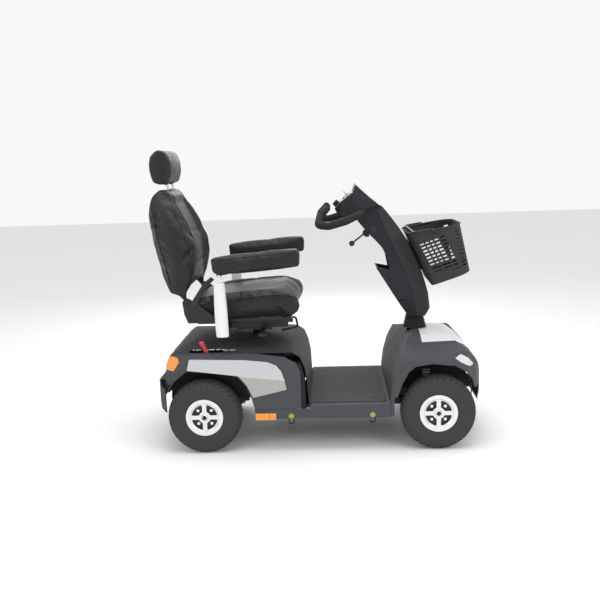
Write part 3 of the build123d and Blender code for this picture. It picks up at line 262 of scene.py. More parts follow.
def metal(name, colour, roughness=0.3, brushed=0.35):
    """Drawn or plated steel with fine draw lines."""
    f = Finish(name)
    lines = f.noise(60, 3, f.stretched(40, 1, 40))
    spots = f.noise(90, 4).rise(0.6, 0.8)
    return f.surface(
        Base_Color=f.mix(spots, tint(colour, 1.0), tint(colour, 0.72)),
        Metallic=1.0, Roughness=roughness + lines * brushed * 0.4 + spots * 0.1,
        Normal=f.bump(lines, 0.00004))


def wheel_alloy(name, colour, dark):
    """Lacquered alloy with turned rings, black in the recess behind the spokes."""
    f = Finish(name)
    depth = f.axis(1).size()
    recess = 1 - depth.rise(0.2972, 0.2985)
    rings = f.noise(420, 2, f.stretched(1, 0.2, 1))
    return f.surface(
        Base_Color=f.mix(recess, f.mix(rings, tint(colour, 0.88), tint(colour, 1.08)), tint(dark, 1.0)),
        Metallic=0.95 - recess * 0.9, Roughness=0.26 + rings * 0.1 + recess * 0.3,
        Coat_Weight=0.4, Coat_Roughness=0.1,
        Normal=f.bump(rings, 0.00005))


def tyre_rubber(name, colour):
    """Tyre rubber: dusty tread, darker sidewall with fine moulding rings."""
    f = Finish(name)
    x, z = f.axis(0), f.axis(2)
    radius = (x * x + z * z).math("SQRT", x * x + z * z)
    tread = radius.rise(0.133, 0.146)
    dust = f.noise(38, 5)
    rings = (radius * 260).fraction().rise(0.35, 0.65)
    return f.surface(
        Base_Color=f.mix(tread * dust * 0.6, tint(colour, 1.0), tint(colour, 1.9)),
        Roughness=0.62 + tread * 0.2 + (dust - 0.5) * 0.15, Specular_IOR_Level=0.25,
        Normal=f.bump(rings * (1 - tread) * 0.6 + f.noise(700, 2) * 0.3, 0.0005))


def ribbed_mat(name, colour, half_length, half_width, centre_x):
    """Rubber floor mat: fore-and-aft ribs inside a plain border, with two cross lines."""
    f = Finish(name)
    x = f.axis(0) - centre_x
    y = f.axis(1)
    border = (x.size().rise(half_length - 0.026, half_length - 0.024)).larger(
        y.size().rise(half_width - 0.026, half_width - 0.024))
    ribs = (y * 160).fraction().rise(0.25, 0.55) * (1 - border)
    cross = 1 - (x.size() - 0.045).size().rise(0.002, 0.004)
    ring = 1 - ((x * x + y * y).math("SQRT", x * x + y * y) - 0.075).size().rise(0.002, 0.004)
    line = cross.larger(ring) * (1 - border)
    dust = f.noise(22, 5)
    return f.surface(
        Base_Color=f.mix(dust * 0.6 + ribs * 0.3, tint(colour, 0.75), tint(colour, 1.7)),
        Roughness=0.62 + dust * 0.18,
        Normal=f.bump(ribs - line, 0.0012))


def lens(name, colour, roughness=0.12, pitch=260):
    """A lamp or reflector lens with moulded prisms behind a glossy face."""
    f = Finish(name)
    x, z = f.axis(0), f.axis(2)
    prism = (x * pitch).fraction().rise(0.0, 1.0) + (z * pitch).fraction().rise(0.0, 1.0)
    return f.surface(
        Base_Color=f.mix(prism * 0.5, tint(colour, 0.7), tint(colour, 1.25)),
        Roughness=roughness + prism * 0.05,
        Coat_Weight=0.8, Coat_Roughness=0.05,
        Normal=f.bump(prism, 0.0006, 0.6))


# ----------------------------------------------------------------- mesh tools


def dress(obj, finish, body):
    """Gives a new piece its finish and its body."""
    obj.data.materials.clear()
    obj.data.materials.append(finish)
    if body:
        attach(obj, body)
    return obj


def link(name, data):
    obj = bpy.data.objects.new(name, data)
    bpy.context.scene.collection.objects.link(obj)
    return obj


def solid(name, bm, smooth=True):
    """Turns a bmesh into an object, with its normals outward."""
    bmesh.ops.recalc_face_normals(bm, faces=bm.faces)
    mesh = bpy.data.meshes.new(name)
    bm.to_mesh(mesh)
    bm.free()
    if smooth:
        mesh.polygons.foreach_set("use_smooth", [True] * len(mesh.polygons))
    return link(name, mesh)


def apply_all(obj):
    """Bakes an object's modifiers into its mesh."""
    graph = bpy.context.evaluated_depsgraph_get()
    mesh = bpy.data.meshes.new_from_object(obj.evaluated_get(graph))
    old = obj.data
    obj.modifiers.clear()
    obj.data = mesh
    bpy.data.meshes.remove(old)


def from_node(name, node):
    """A free copy of a CAD node's mesh, with its seams between faces welded."""
    bm = bmesh.new()
    bm.from_mesh(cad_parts[node].data)
    bmesh.ops.remove_doubles(bm, verts=bm.verts, dist=WELD_GAP)
    return solid(name, bm)


def soften(obj, width, angle):
    """Rounds the edges that are sharper than an angle in degrees."""
    bevel = obj.modifiers.new("edges", "BEVEL")
    bevel.width = width
    bevel.segments = 2
    bevel.limit_method = "ANGLE"
    bevel.angle_limit = math.radians(angle)
    bevel.harden_normals = False


def finish_node(node, finish, edge=0.0006, angle=35):
    """A CAD node keeps its shape, with softened edges and a real finish."""
    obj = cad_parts[node]
    for index in range(len(obj.material_slots)):
        obj.material_slots[index].material = finish
    if not obj.material_slots:
        obj.data.materials.append(finish)
    if edge:
        obj.modifiers.new("seams", "WELD").merge_threshold = WELD_GAP
        soften(obj, edge, angle)


def wire(name, points, radius, closed=False):
    """A round cord of the given radius along smooth points."""
    curve = bpy.data.curves.new(name, "CURVE")
    curve.dimensions = "3D"
    curve.bevel_depth = radius
    curve.bevel_resolution = 3
    curve.use_fill_caps = True
    spline = curve.splines.new("NURBS")
    spline.points.add(len(points) - 1)
    for point, place in zip(spline.points, points):
        point.co = (*place, 1.0)
    spline.order_u = 3
    spline.use_endpoint_u = not closed
    spline.use_cyclic_u = closed
    spline.resolution_u = 3
    return link(name, curve)


def skin(bm, rings):
    """Joins each ring of points to the next and closes both ends."""
    for low, high in zip(rings, rings[1:]):
        for i in range(len(low)):
            j = (i + 1) % len(low)
            bm.faces.new((low[i], low[j], high[j], high[i]))
    bm.faces.new(rings[0])
    bm.faces.new(rings[-1])


def surface_of(obj):
    """The object's surface, for finding its nearest point or casting onto it."""
    bm = bmesh.new()
    bm.from_mesh(obj.data)
    tree = BVHTree.FromBMesh(bm)
    bm.free()
    return tree


def spread(points, step):
    """Evenly spaced points along straight runs."""
    result = []
    for start, end in zip(points, points[1:]):
        count = max(1, round((end - start).length / step))
        result += [start.lerp(end, i / count) for i in range(count)]
    return [*result, points[-1]]


def beside(side, points, out=OUTSIDE):
    """A line out beside a cushion, through (ahead, height) points, to be cast onto it."""
    return spread([at(x, side * out, z) for x, z in points], SEAM_STEP)


def onto(tree, points, lift):
    """Each point moved onto the surface, then out along its normal."""
    result = []
    for point in points:
        place, normal, _, _ = tree.find_nearest(point)
        result.append(place + normal * lift)
    return result


def pushed(tree, points, direction, lift, reach=0.4):
    """Each point cast along a direction onto the surface; misses are left out."""
    result = []
    for point in points:
        place, normal, _, _ = tree.ray_cast(point, direction, reach)
        if place:
            result.append(place + normal * lift)
    return result


def stitches(name, tree, points, offset):
    """A row of thread stitches beside a seam, each a slim raised bead."""
    length = 0.0042
    pitch = 0.0075
    bm = bmesh.new()
    path = spread(points, pitch)
    for start, end in zip(path, path[1:]):
        along = (end - start).normalized()
        sideways = tree.find_nearest(start)[1].cross(along).normalized()
        place, normal, _, _ = tree.find_nearest(start + sideways * offset)
        across = normal.cross(along).normalized()
        turn = Matrix((along, across, normal)).transposed().to_4x4()
        turn.translation = place + normal * 0.0002
        scale = Matrix.Diagonal((length / 2, 0.00055, 0.0005, 1))
        bmesh.ops.create_icosphere(bm, subdivisions=1, radius=1, matrix=turn @ scale)
    return solid(name, bm)


def smoothstep(value, low, high):
    """0 below low, 1 above high, smooth between."""
    share = min(1.0, max(0.0, (value - low) / (high - low)))
    return share * share * (3 - 2 * share)


def relax(bm, rounds):
    """Smooths every point a little, several times."""
    for _ in range(rounds):
        bmesh.ops.smooth_vert(bm, verts=bm.verts, factor=0.5,
                              use_axis_x=True, use_axis_y=True, use_axis_z=True)


def plump(obj, voxel, sculpt, cap, rounds):
    """Remeshes a soft solid, sculpts it, then fills it like a stuffed cover."""
    remesh = obj.modifiers.new("voxels", "REMESH")
    remesh.mode = "VOXEL"
    remesh.voxel_size = voxel
    remesh.use_smooth_shade = True
    apply_all(obj)
    bm = bmesh.new()
    bm.from_mesh(obj.data)
    relax(bm, rounds)
    for vertex in bm.verts:
        vertex.co += sculpt(vertex.co.copy(), vertex.normal.copy())
    relax(bm, 3)
    bm.to_mesh(obj.data)
    bm.free()
    fill_cover(obj, cap)
    sub = obj.modifiers.new("smooth", "SUBSURF")
    sub.levels = sub.render_levels = 1
    apply_all(obj)
    obj.data.polygons.foreach_set("use_smooth", [True] * len(obj.data.polygons))


def fill_cover(obj, cap):
    """Runs Cloth with a gentle pressure and keeps each point within cap of its place."""
    before = [v.co.copy() for v in obj.data.vertices]
    cloth = obj.modifiers.new("cover", "CLOTH")
    cloth.settings.quality = 4
    cloth.settings.mass = 0.3
    cloth.settings.tension_stiffness = 25
    cloth.settings.compression_stiffness = 25
    cloth.settings.bending_stiffness = 2
    cloth.settings.use_pressure = True
    cloth.settings.uniform_pressure_force = 4.0
    cloth.settings.effector_weights.gravity = 0
    cloth.point_cache.frame_start = 1
    cloth.point_cache.frame_end = 20
    scene = bpy.context.scene
    for number in range(1, cloth.point_cache.frame_end + 1):
        scene.frame_set(number)
    apply_all(obj)
    scene.frame_set(1)
    for vertex, rest in zip(obj.data.vertices, before):
        move = vertex.co - rest
        if move.length > cap:
            vertex.co = rest + move * (cap / move.length)


# ------------------------------------------------------------------ properties


def colour_choice(name, description, default):
    return FloatVectorProperty(name=name, description=description, default=default,
                               subtype="COLOR", size=3, min=0.0, max=1.0)


class ScooterColours(bpy.types.PropertyGroup):
    """Colours of the finishes."""

    vinyl: colour_choice("Vinyl", "Seat, backrest and arm pads", (0.009, 0.0095, 0.0115))
    shroud: colour_choice("Shroud", "Rear body cover", (0.011, 0.0105, 0.0105))
    body: colour_choice("Body", "Fenders, cowl and floor pan", (0.018, 0.0195, 0.0235))
    silver: colour_choice("Silver", "Painted panels and arm posts", (0.56, 0.57, 0.59))
    # Painted reflection: this cream-grey stands in for light reflected on the side panel below its crease.
    facet_reflection: colour_choice("Lower facet", "Side panel below its crease", (0.42, 0.41, 0.39))
    black: colour_choice("Black", "Trim, basket and console", (0.007, 0.007, 0.0078))
    rubber: colour_choice("Rubber", "Tyres and mat", (0.0055, 0.0055, 0.006))
    amber: colour_choice("Amber", "Rear lamps and reflectors", (0.85, 0.13, 0.004))
    alloy: colour_choice("Alloy", "Wheel rims", (0.80, 0.81, 0.82))


class ScooterSizes(bpy.types.PropertyGroup):
    """Sizes of the dressing that a user would change."""

    tread_depth: FloatProperty(name="Tread depth", description="Depth of the tyre grooves",
                               default=0.006, min=0.0, max=0.01, unit="LENGTH")
    tread_blocks: IntProperty(name="Tread blocks", description="Blocks round each shoulder",
                              default=34, min=8, max=60)
    piping: FloatProperty(name="Piping", description="Radius of the sewn piping on the seat",
                          default=0.0024, min=0.001, max=0.006, unit="LENGTH")
    slot_height: FloatProperty(name="Basket slot", description="Height of each slot in the basket",
                               default=0.0085, min=0.004, max=0.012, unit="LENGTH")
    voxel: FloatProperty(name="Cushion mesh", description="Cell size of the cushions' remesh",
                         default=0.0055, min=0.004, max=0.01, unit="LENGTH")


def colours():
    """The colours set in the panel."""
    return bpy.context.scene.scooter_colours


def sizes():
    """The sizes set in the panel."""
    return bpy.context.scene.scooter_sizes


def shared(name, make, *values, **named):
    """A finish that several pieces use is made once."""
    return bpy.data.materials.get(name) or make(name, *values, **named)


def body_plastic():
    return shared("body_plastic", moulded, colours().body, 0.42)


def black_plastic():
    return shared("black_plastic", moulded, colours().black, 0.4)


def seat_vinyl():
    return shared("seat_vinyl", vinyl, colours().vinyl)


def silver_panel():
    return shared("silver_panel", silver_paint, colours().silver)


def zinc():
    return shared("zinc_steel", metal, (0.5, 0.5, 0.52))


def black_steel():
    return shared("black_steel", moulded, (0.014, 0.014, 0.015), 0.36, 0.00003, 0.2)


def thread():
    return shared("seam_thread", moulded, (0.045, 0.046, 0.05), 0.7)


# ------------------------------------------------------------------- operators


class Builder(bpy.types.Operator):
    """Base of the operators that dress one part of the scooter."""

    bl_options = {"REGISTER", "UNDO"}

    def execute(self, context):
        self.build()
        return {"FINISHED"}


class SCOOTER_OT_stage(Builder):
    """Pale floor, soft studio light and the camera"""

    bl_idname = "scooter.stage"
    bl_label = "Stage"

    def build(self):
        floor = bmesh.new()
        bmesh.ops.create_grid(floor, x_segments=8, y_segments=8, size=14)
        floor = solid("studio_floor", floor)
        f = Finish("studio_floor")
        shade = f.noise(1.5, 2)
        pale = f.mix(shade, (0.96, 0.96, 0.96, 1), (0.98, 0.98, 0.98, 1))
        floor.data.materials.append(f.surface(Base_Color=pale, Roughness=0.75 + shade * 0.1))
        self.sky()
        self.lamp("overhead", (0.2, -0.2, 3.0), (0, 0, 0), 2.2, 38)
        self.lamp("front_right", (2.4, -2.4, 1.9), (0.2, 0, 0.5), 1.2, 22)
        self.lamp("rear_right", (-2.6, -2.2, 1.9), (-0.3, 0, 0.6), 1.2, 16)
        self.lamp("behind", (-0.4, 3.0, 2.1), (0, 0, 0.6), 1.6, 20)
        self.camera()

    def sky(self):
        """A white world, dimmer as a light than as a background."""
        scene = bpy.context.scene
        scene.view_settings.view_transform = "Standard"
        scene.world = scene.world or bpy.data.worlds.new("studio")
        scene.world.use_nodes = True
        tree = scene.world.node_tree
        background = tree.nodes["Background"]
        background.inputs["Color"].default_value = (1, 1, 1, 1)
        path = tree.nodes.new("ShaderNodeLightPath")
        strength = tree.nodes.new("ShaderNodeMapRange")
        strength.inputs["To Min"].default_value = 0.78
        strength.inputs["To Max"].default_value = 0.94
        tree.links.new(path.outputs["Is Camera Ray"], strength.inputs["Value"])
        tree.links.new(strength.outputs["Result"], background.inputs["Strength"])

    def camera(self):
        """A camera that stands to the right and looks slightly down."""
        data = bpy.data.cameras.new("camera")
        data.sensor_width = SENSOR
        data.lens = LENS
        camera = link("camera", data)
        ahead = Vector((math.sin(YAW) * math.cos(PITCH), math.cos(YAW) * math.cos(PITCH), math.sin(PITCH)))
        across = Vector((math.cos(YAW), -math.sin(YAW), 0))
        over = across.cross(ahead)
        right = across * math.cos(ROLL) + over * math.sin(ROLL)
        up = over * math.cos(ROLL) - across * math.sin(ROLL)
        matrix = Matrix((right, up, -ahead)).transposed().to_4x4()
        matrix.translation = at(531.7, -3283.7, 1138)
        camera.matrix_world = matrix
        bpy.context.scene.camera = camera

    def lamp(self, name, place, target, size, power):
        data = bpy.data.lights.new(name, "AREA")
        data.size = size
        data.energy = power
        lamp = link(name, data)
        lamp.location = place
        lamp.rotation_euler = (Vector(target) - Vector(place)).to_track_quat("-Z", "Y").to_euler()


WHEELS = {
    "front_right": (940, NEAR), "front_left": (940, FAR),
    "rear_right": (0, NEAR), "rear_left": (0, FAR),
}


class SCOOTER_OT_wheels(Builder):
    """Tyres with moulded tread and sidewall, and the alloy rims"""

    bl_idname = "scooter.wheels"
    bl_label = "Wheels"

    def build(self):
        rubber = shared("tyre_rubber", tyre_rubber, colours().rubber)
        alloy = shared("wheel_alloy", wheel_alloy, colours().alloy, (0.01, 0.01, 0.011))
        mesh = self.tyre_mesh()
        for name, (x, side) in WHEELS.items():
            tyre = link(f"tread_{name}", mesh.copy())
            tyre.location = at(x, side * WHEEL_OUT, AXLE_HEIGHT)
            if side == NEAR:
                tyre.rotation_euler = (0, 0, math.pi)
            bpy.context.view_layer.update()
            dress(tyre, rubber, f"wheel_{name}")
            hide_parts(f"tyre_{name}")
            finish_node(f"rim_{name}", alloy, 0.0012)
            self.cap(name, x, side)
        bpy.data.meshes.remove(mesh)

    def section(self):
        """Half the tyre's section: (across, radius) from the crown to the bead."""
        tread = [(0, 150), (8, 150), (16, 149.7), (24, 148.6), (31, 146.4), (37, 143)]
        wall = [(41.2, 137.5), (42.6, 131), (43.4, 125), (43.8, 117), (43.9, 109), (43.4, 101), (42.2, 94)]
        bead = [(40.6, 88), (38.6, 83.2), (37.6, 80.6), (35.4, 77.6), (33.2, 74.4), (31.5, 72.2)]
        return tread + wall + bead

    def tyre_mesh(self):
        """One tyre about the Y axis, finer where the tread's grooves are cut."""
        half = []
        points = self.section()
        for (y0, r0), (y1, r1) in zip(points, points[1:]):
            steps = 3 if r1 > 136 else 1
            half += [(y0 + (y1 - y0) * i / steps, r0 + (r1 - r0) * i / steps) for i in range(steps)]
        half.append(points[-1])
        profile = [(-y, r) for y, r in reversed(half[1:])] + half
        turns = sizes().tread_blocks * 10
        bm = bmesh.new()
        rings = []
        for step in range(turns):
            angle = 2 * math.pi * step / turns
            ring = []
            for y, r in profile:
                cut = self.groove(step, turns, y, r) * sizes().tread_depth
                r_now = r / 1000 - cut
                ring.append(bm.verts.new((r_now * math.cos(angle), y / 1000, r_now * math.sin(angle))))
            rings.append(ring)
        for a, b in zip(rings, rings[1:] + rings[:1]):
            for i in range(len(profile) - 1):
                bm.faces.new((a[i], a[i + 1], b[i + 1], b[i]))
            bm.faces.new((a[-1], a[0], b[0], b[-1]))
        bmesh.ops.recalc_face_normals(bm, faces=bm.faces)
        mesh = bpy.data.meshes.new("tread")
        bm.to_mesh(mesh)
        bm.free()
        mesh.polygons.foreach_set("use_smooth", [False] * len(mesh.polygons))
        return mesh

    def groove(self, step, turns, y, r):
        """1 in a groove of the tread, 0 on a block."""
        if r < 133:
            return 0.0
        lateral = abs(y)
        turn = step / turns * sizes().tread_blocks
        wave = abs((turn + (0.25 if y > 0 else 0.75)) % 1 - 0.5) * 2
        if abs(lateral - 9 - wave * 4) < 1.6:
            return 1.0
        if abs(lateral - 25 - wave * 2) < 1.3:
            return 0.9
        share = (turn + lateral / 26 + (0.5 if y > 0 else 0)) % 1
        width = 0.16 if lateral < 25 else 0.36
        return 0.85 if share < width and lateral > 9 else 0.0

    def cap(self, name, x, side):
        """The domed dust cap over the end of the axle."""
        bm = bmesh.new()
        crown = 0.0415
        profile = [(0.006, 0.0411), (0.0105, 0.0396), (0.0128, 0.0372), (0.0135, 0.034)]
        count = 48
        spokes = []
        for step in range(count):
            angle = 2 * math.pi * step / count
            spokes.append([bm.verts.new((r * math.cos(angle), y, r * math.sin(angle))) for r, y in profile])
        tip = bm.verts.new((0, crown, 0))
        for a, b in zip(spokes, spokes[1:] + spokes[:1]):
            for i in range(len(profile) - 1):
                bm.faces.new((a[i], b[i], b[i + 1], a[i + 1]))
            bm.faces.new((tip, b[0], a[0]))
        bm.faces.new([spoke[-1] for spoke in spokes])
        cap = solid(f"axle_cap_{name}", bm)
        cap.location = at(x, side * WHEEL_OUT, AXLE_HEIGHT)
        if side == NEAR:
            cap.rotation_euler = (0, 0, math.pi)
        bpy.context.view_layer.update()
        if "rear" in name:
            finish = shared("cap_black", moulded, (0.012, 0.011, 0.011), 0.3)
        else:
            finish = shared("cap_brown", moulded, (0.03, 0.018, 0.012), 0.3)
        dress(cap, finish, f"wheel_{name}")


class SCOOTER_OT_chassis(Builder):
    """Frame, axle, motor, springs, steering links and batteries"""

    bl_idname = "scooter.chassis"
    bl_label = "Chassis"

    def build(self):
        for node in ("chassis_frame", "knuckle_right", "knuckle_left"):
            finish_node(node, black_steel())
        cast = shared("cast_metal", moulded, (0.05, 0.05, 0.053), 0.5, 0.0002)
        for node in ("transaxle", "drive_motor"):
            finish_node(node, cast, 0.001)
        for node in ("steering_column", "tie_rod", "rear_springs"):
            finish_node(node, zinc(), 0.0004)
        for node in ("seat_post", "seat_rails"):
            finish_node(node, black_steel(), 0.0004)
        finish_node("tie_downs", black_steel())
        finish_node("batteries", shared("battery_case", moulded, (0.05, 0.05, 0.055), 0.5), 0.002)
        finish_node("controller", shared("controller_alloy", metal, (0.4, 0.4, 0.42)), 0.001)
        self.springs()
        self.bellows()

    def bellows(self):
        """Ribbed gaiter from the hood up to the tiller."""
        centre = at(COLUMN_AHEAD, 0, 0)
        ribs = 6
        levels = 49
        turns = 64
        bm = bmesh.new()
        rings = []
        for level in range(levels):
            share = level / (levels - 1)
            ripple = 0.0035 * math.cos(share * ribs * 2 * math.pi)
            radius = 0.0425 - 0.011 * share + ripple
            height = 0.4425 + 0.0525 * share
            ring = []
            for step in range(turns):
                angle = 2 * math.pi * step / turns
                point = Vector((radius * 1.12 * math.cos(angle), radius * math.sin(angle), height))
                ring.append(bm.verts.new(centre + point))
            rings.append(ring)
        skin(bm, rings)
        gaiter = solid("gaiter", bm)
        dress(gaiter, shared("bellows_rubber", moulded, (0.01, 0.01, 0.011), 0.5), None)
        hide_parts("bellows")
        tuple(at(878, 0, 446))
        tuple(at(878, 0, 494))
        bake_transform(gaiter)

    def springs(self):
        """The front coil springs that show inside the wheel arches."""
        coil = 0.017
        steps = 96
        for word, side in SIDES:
            points = []
            for i in range(steps + 1):
                angle = i * math.pi / 8
                turn = Vector((coil * math.cos(angle), coil * math.sin(angle), 0))
                points.append(at(904, side * 181, 236 + 66 * i / steps) + turn)
            dress(wire(f"front_spring_{word}", points, 0.0026), zinc(), "chassis")


class SCOOTER_OT_shells(Builder):
    """Rear shroud, fenders, side panels, bumper, cowl, hood and leg shield"""

    bl_idname = "scooter.shells"
    bl_label = "Body shells"

    def build(self):
        shroud = shared("shroud_plastic", moulded, colours().shroud, 0.38)
        for node in ("rear_shroud", "leg_shield"):
            finish_node(node, shroud, 0.0012, 40)
        for node in ("rear_fenders", "front_cowl", "floor_pan"):
            finish_node(node, body_plastic(), 0.0012, 40)
        finish_node("rear_bumper", black_plastic(), 0.0015)
        finish_node("side_panels", body_side_paint("side_silver_painted_reflection", colours().silver, colours().facet_reflection), 0.001)
        finish_node("front_hood", silver_panel(), 0.001)
        finish_node("tail_lights", shared("amber_lens", lens, colours().amber), 0.002)
        finish_node("headlights", shared("clear_lens", lens, (0.75, 0.77, 0.8), 0.08, 120), 0.002)
        finish_node("freewheel_lever", shared("red_knob", moulded, (0.55, 0.01, 0.02), 0.2, 0.00002, 0.6))
        self.reflectors()
        self.marks()
        self.liners()

    def liners(self):
        """Inner walls of the wheel arches, and sheets that close the gaps by the shroud's front corners and
        under the deck. The walls are real, but their near-black, darker than the body plastic, is painted
        shade. The corner and deck sheets are dark sheets put where there is shadow.
        """
        # Painted shade: this near-black stands for the shadow inside the arches and gaps.
        shade_liner = shared("arch_liner", moulded, (0.008, 0.008, 0.009), 0.6, 0.0002)
        rear = [(-150, 202), (-148, 240), (-118, 290), (-66, 333), (60, 328),
                (134, 308), (166, 270), (184, 226), (186, 202)]
        front = [(802, 202), (806, 275), (827, 316), (854, 337), (919, 345),
                 (1003, 335), (1054, 301), (1082, 262), (1092, 224), (1092, 202)]
        corner = [(388, 176), (412, 176), (408, 300), (396, 350), (380, 366)]
        sheets = (("rear", rear, 208.5, 211.5), ("front", front, 121, 124), ("corner", corner, 262, 300))
        # Painted shade: a near-black sheet across the gap under the deck's front edge, where shadow falls.
        gap_sheet = bmesh.new()
        plate_loft(gap_sheet, [(398, 180), (432, 180), (432, 186.4), (398, 186.4)], -299, 299, 0.4)
        dress(solid("deck_gap_shade", gap_sheet, False), shade_liner, "chassis")
        for word, side in SIDES:
            for name, outline, inner, outer in sheets:
                bm = bmesh.new()
                plate_loft(bm, outline, side * inner, side * outer, 0.4)
                dress(solid(f"{name}_liner_{word}", bm, False), shade_liner, "chassis")

    def reflectors(self):
        """Two-tone side reflectors on the skirts."""
        amber = shared("amber_lens", lens, colours().amber)
        pale = shared("amber_pale", lens, (0.9, 0.32, 0.04), 0.12, 420)
        low, high = 133, 161
        thick = 4.2
        for word, side in SIDES:
            for part, start, end, finish in (("dark", 206, 262, amber), ("pale", 262.6, 290, pale)):
                bm = bmesh.new()
                corners = [(start, low), (end, low), (end, high), (start, high)]
                plate_loft(bm, corners, side * SKIRT_OUT, side * (SKIRT_OUT + thick), 1.6)
                plate = solid(f"reflector_{part}_{word}", bm, False)
                dress(plate, finish, "chassis")

    def marks(self):
        """Plain pale bars beside the freewheel slot, standing for its label."""
        white = shared("label_white", moulded, (0.7, 0.7, 0.68), 0.5)
        tree = surface_of(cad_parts["rear_shroud"])
        bm = bmesh.new()
        inward = Vector((0, 1, 0))
        for start, length in ((-47, 9), (-33, 22), (-4, 12), (14, 30), (50, 16), (72, 26), (104, 24)):
            ends = [at(x, -OUTSIDE, 412) for x in (start, start + length)]
            add_strip(bm, tree, *ends, inward, 0.0022, 0.0005)
        dress(solid("label_bars", bm), white, "chassis")


def plate_loft(bm, corners, inner, outer, bevel):
    """A flat moulding on the scooter's side with its outer edge drawn in."""
    middle = (sum(x for x, _ in corners) / len(corners), sum(z for _, z in corners) / len(corners))
    layers = []
    for y, draw in ((inner, 0), (inner + (outer - inner) * 0.6, 0), (outer, bevel)):
        ring = []
        for x, z in corners:
            dx = draw if x < middle[0] else -draw
            dz = draw if z < middle[1] else -draw
            ring.append(bm.verts.new(at(x + dx, y, z + dz)))
        layers.append(ring)
    skin(bm, layers)


def add_strip(bm, tree, start, end, direction, half, height):
    """A thin raised bar laid on a surface between two points cast onto it."""
    ends = pushed(tree, [start.lerp(end, i / 4) for i in range(5)], direction, 0.0)
    if len(ends) < 5:
        return
    rows = []
    for index, place in enumerate(ends):
        _, normal, _, _ = tree.find_nearest(place)
        if normal.dot(direction) > 0:
            normal = -normal
        along = (ends[min(index + 1, 4)] - ends[max(index - 1, 0)]).normalized()
        across = normal.cross(along).normalized()
        rows.append([bm.verts.new(place + across * side * half + normal * lift)
                     for side, lift in ((-1, 0.0001), (-1, height), (1, height), (1, 0.0001))])
    skin(bm, rows)


class SCOOTER_OT_deck(Builder):
    """Ribbed floor mat and its studs"""

    bl_idname = "scooter.deck"
    bl_label = "Deck"

    def build(self):
        low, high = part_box("floor_mat")
        mat = shared("mat_rubber", ribbed_mat, (0.016, 0.016, 0.017), (high[0] - low[0]) / 2,
                     (high[1] - low[1]) / 2, (high[0] + low[0]) / 2)
        finish_node("floor_mat", mat, 0.001)
        bm = bmesh.new()
        for x in (low[0] + 0.045, high[0] - 0.045):
            for y in (low[1] + 0.05, high[1] - 0.05):
                place = Matrix.Translation((x, y, high[2])) @ Matrix.Diagonal((0.013, 0.007, 0.0016, 1))
                bmesh.ops.create_uvsphere(bm, u_segments=24, v_segments=10, radius=1, matrix=place)
        dress(solid("mat_studs", bm), black_plastic(), "chassis")
        self.markers()

    def markers(self):
        """Yellow-green tie-down markers with dark rings, above the tie-down loops."""
        lime = shared("marker_lime", moulded, (0.55, 0.62, 0.03), 0.35)
        height = 147
        ring = 0.0062
        for word, side in SIDES:
            for end, x in (("rear", 351), ("front", 678)):
                turn = Matrix.Translation(at(x, side * 305.4, height)) @ Matrix.Rotation(math.pi / 2, 4, "X")
                if side == FAR:
                    turn = turn @ Matrix.Rotation(math.pi, 4, "X")
                bm = bmesh.new()
                bmesh.ops.create_cone(bm, cap_ends=True, segments=32, radius1=0.0108, radius2=0.0092,
                                      depth=0.0022, matrix=turn)
                dress(solid(f"marker_{end}_{word}", bm, False), lime, "chassis")
                points = []
                for step in range(16):
                    angle = step * math.pi / 8
                    points.append(at(x, side * 306, height)
                                  + Vector((ring * math.cos(angle), 0, ring * math.sin(angle))))
                dress(wire(f"marker_ring_{end}_{word}", points, 0.0014, True), black_plastic(), "chassis")


class SCOOTER_OT_tiller(Builder):
    """Tiller housing, console, controls, handlebar and grips"""

    bl_idname = "scooter.tiller"
    bl_label = "Tiller"

    def build(self):
        tiller = shared("tiller_plastic", moulded, (0.011, 0.013, 0.018), 0.36)
        for node in ("tiller_housing", "console_body"):
            finish_node(node, tiller, 0.003)
        finish_node("tiller_front_cover", black_plastic(), 0.002)
        finish_node("basket_mount", black_plastic(), 0.0012)
        finish_node("console_cover", silver_panel(), 0.0015)
        finish_node("handlebar", black_steel(), 0.0006)
        finish_node("grips", shared("grip_foam", moulded, (0.014, 0.013, 0.013), 0.75, 0.0003), 0.002)
        for node in ("speed_dial", "horn_button", "throttle_lever", "tilt_lever", "charge_flap"):
            finish_node(node, black_plastic(), 0.0006)
        finish_node("key", zinc(), 0.0004)
        self.instruments()

    def instruments(self):
        """Battery display and four rocker buttons on the console's sloping face."""
        slope = Vector((51, 0, 39)).normalized()
        up = Vector((-slope.z, 0, slope.x))
        centre = at(600, 0, 1010.2)
        glass = shared("display_glass", moulded, (0.004, 0.006, 0.007), 0.08, 0.00001, 0.8)
        self.raised("battery_display", centre + slope * 0.004, slope, up, (0.013, 0.026), 0.0022, glass)
        for index, y in enumerate((-0.024, -0.008, 0.008, 0.024)):
            place = centre - slope * 0.018 + Vector((0, y, 0))
            self.raised(f"rocker_{index}", place, slope, up, (0.0048, 0.0062), 0.0030, black_plastic())

    def raised(self, name, place, slope, up, half, height, finish):
        """A rounded key or window with softened edges, standing on a sloping face."""
        bm = bmesh.new()
        across = Vector((0, 1, 0))
        count = 32
        layers = []
        for level, draw in ((0.0, 0.0), (0.7, 0.0), (0.9, 0.0005), (1.0, 0.0013)):
            ring = []
            for step in range(count):
                angle = 2 * math.pi * step / count
                u = math.copysign(abs(math.cos(angle)) ** 0.4, math.cos(angle)) * (half[0] - draw)
                v = math.copysign(abs(math.sin(angle)) ** 0.4, math.sin(angle)) * (half[1] - draw)
                ring.append(bm.verts.new(place + slope * u + across * v + up * (level * height + 0.0001)))
            layers.append(ring)
        skin(bm, layers)
        dress(solid(name, bm, False), finish, "tiller")


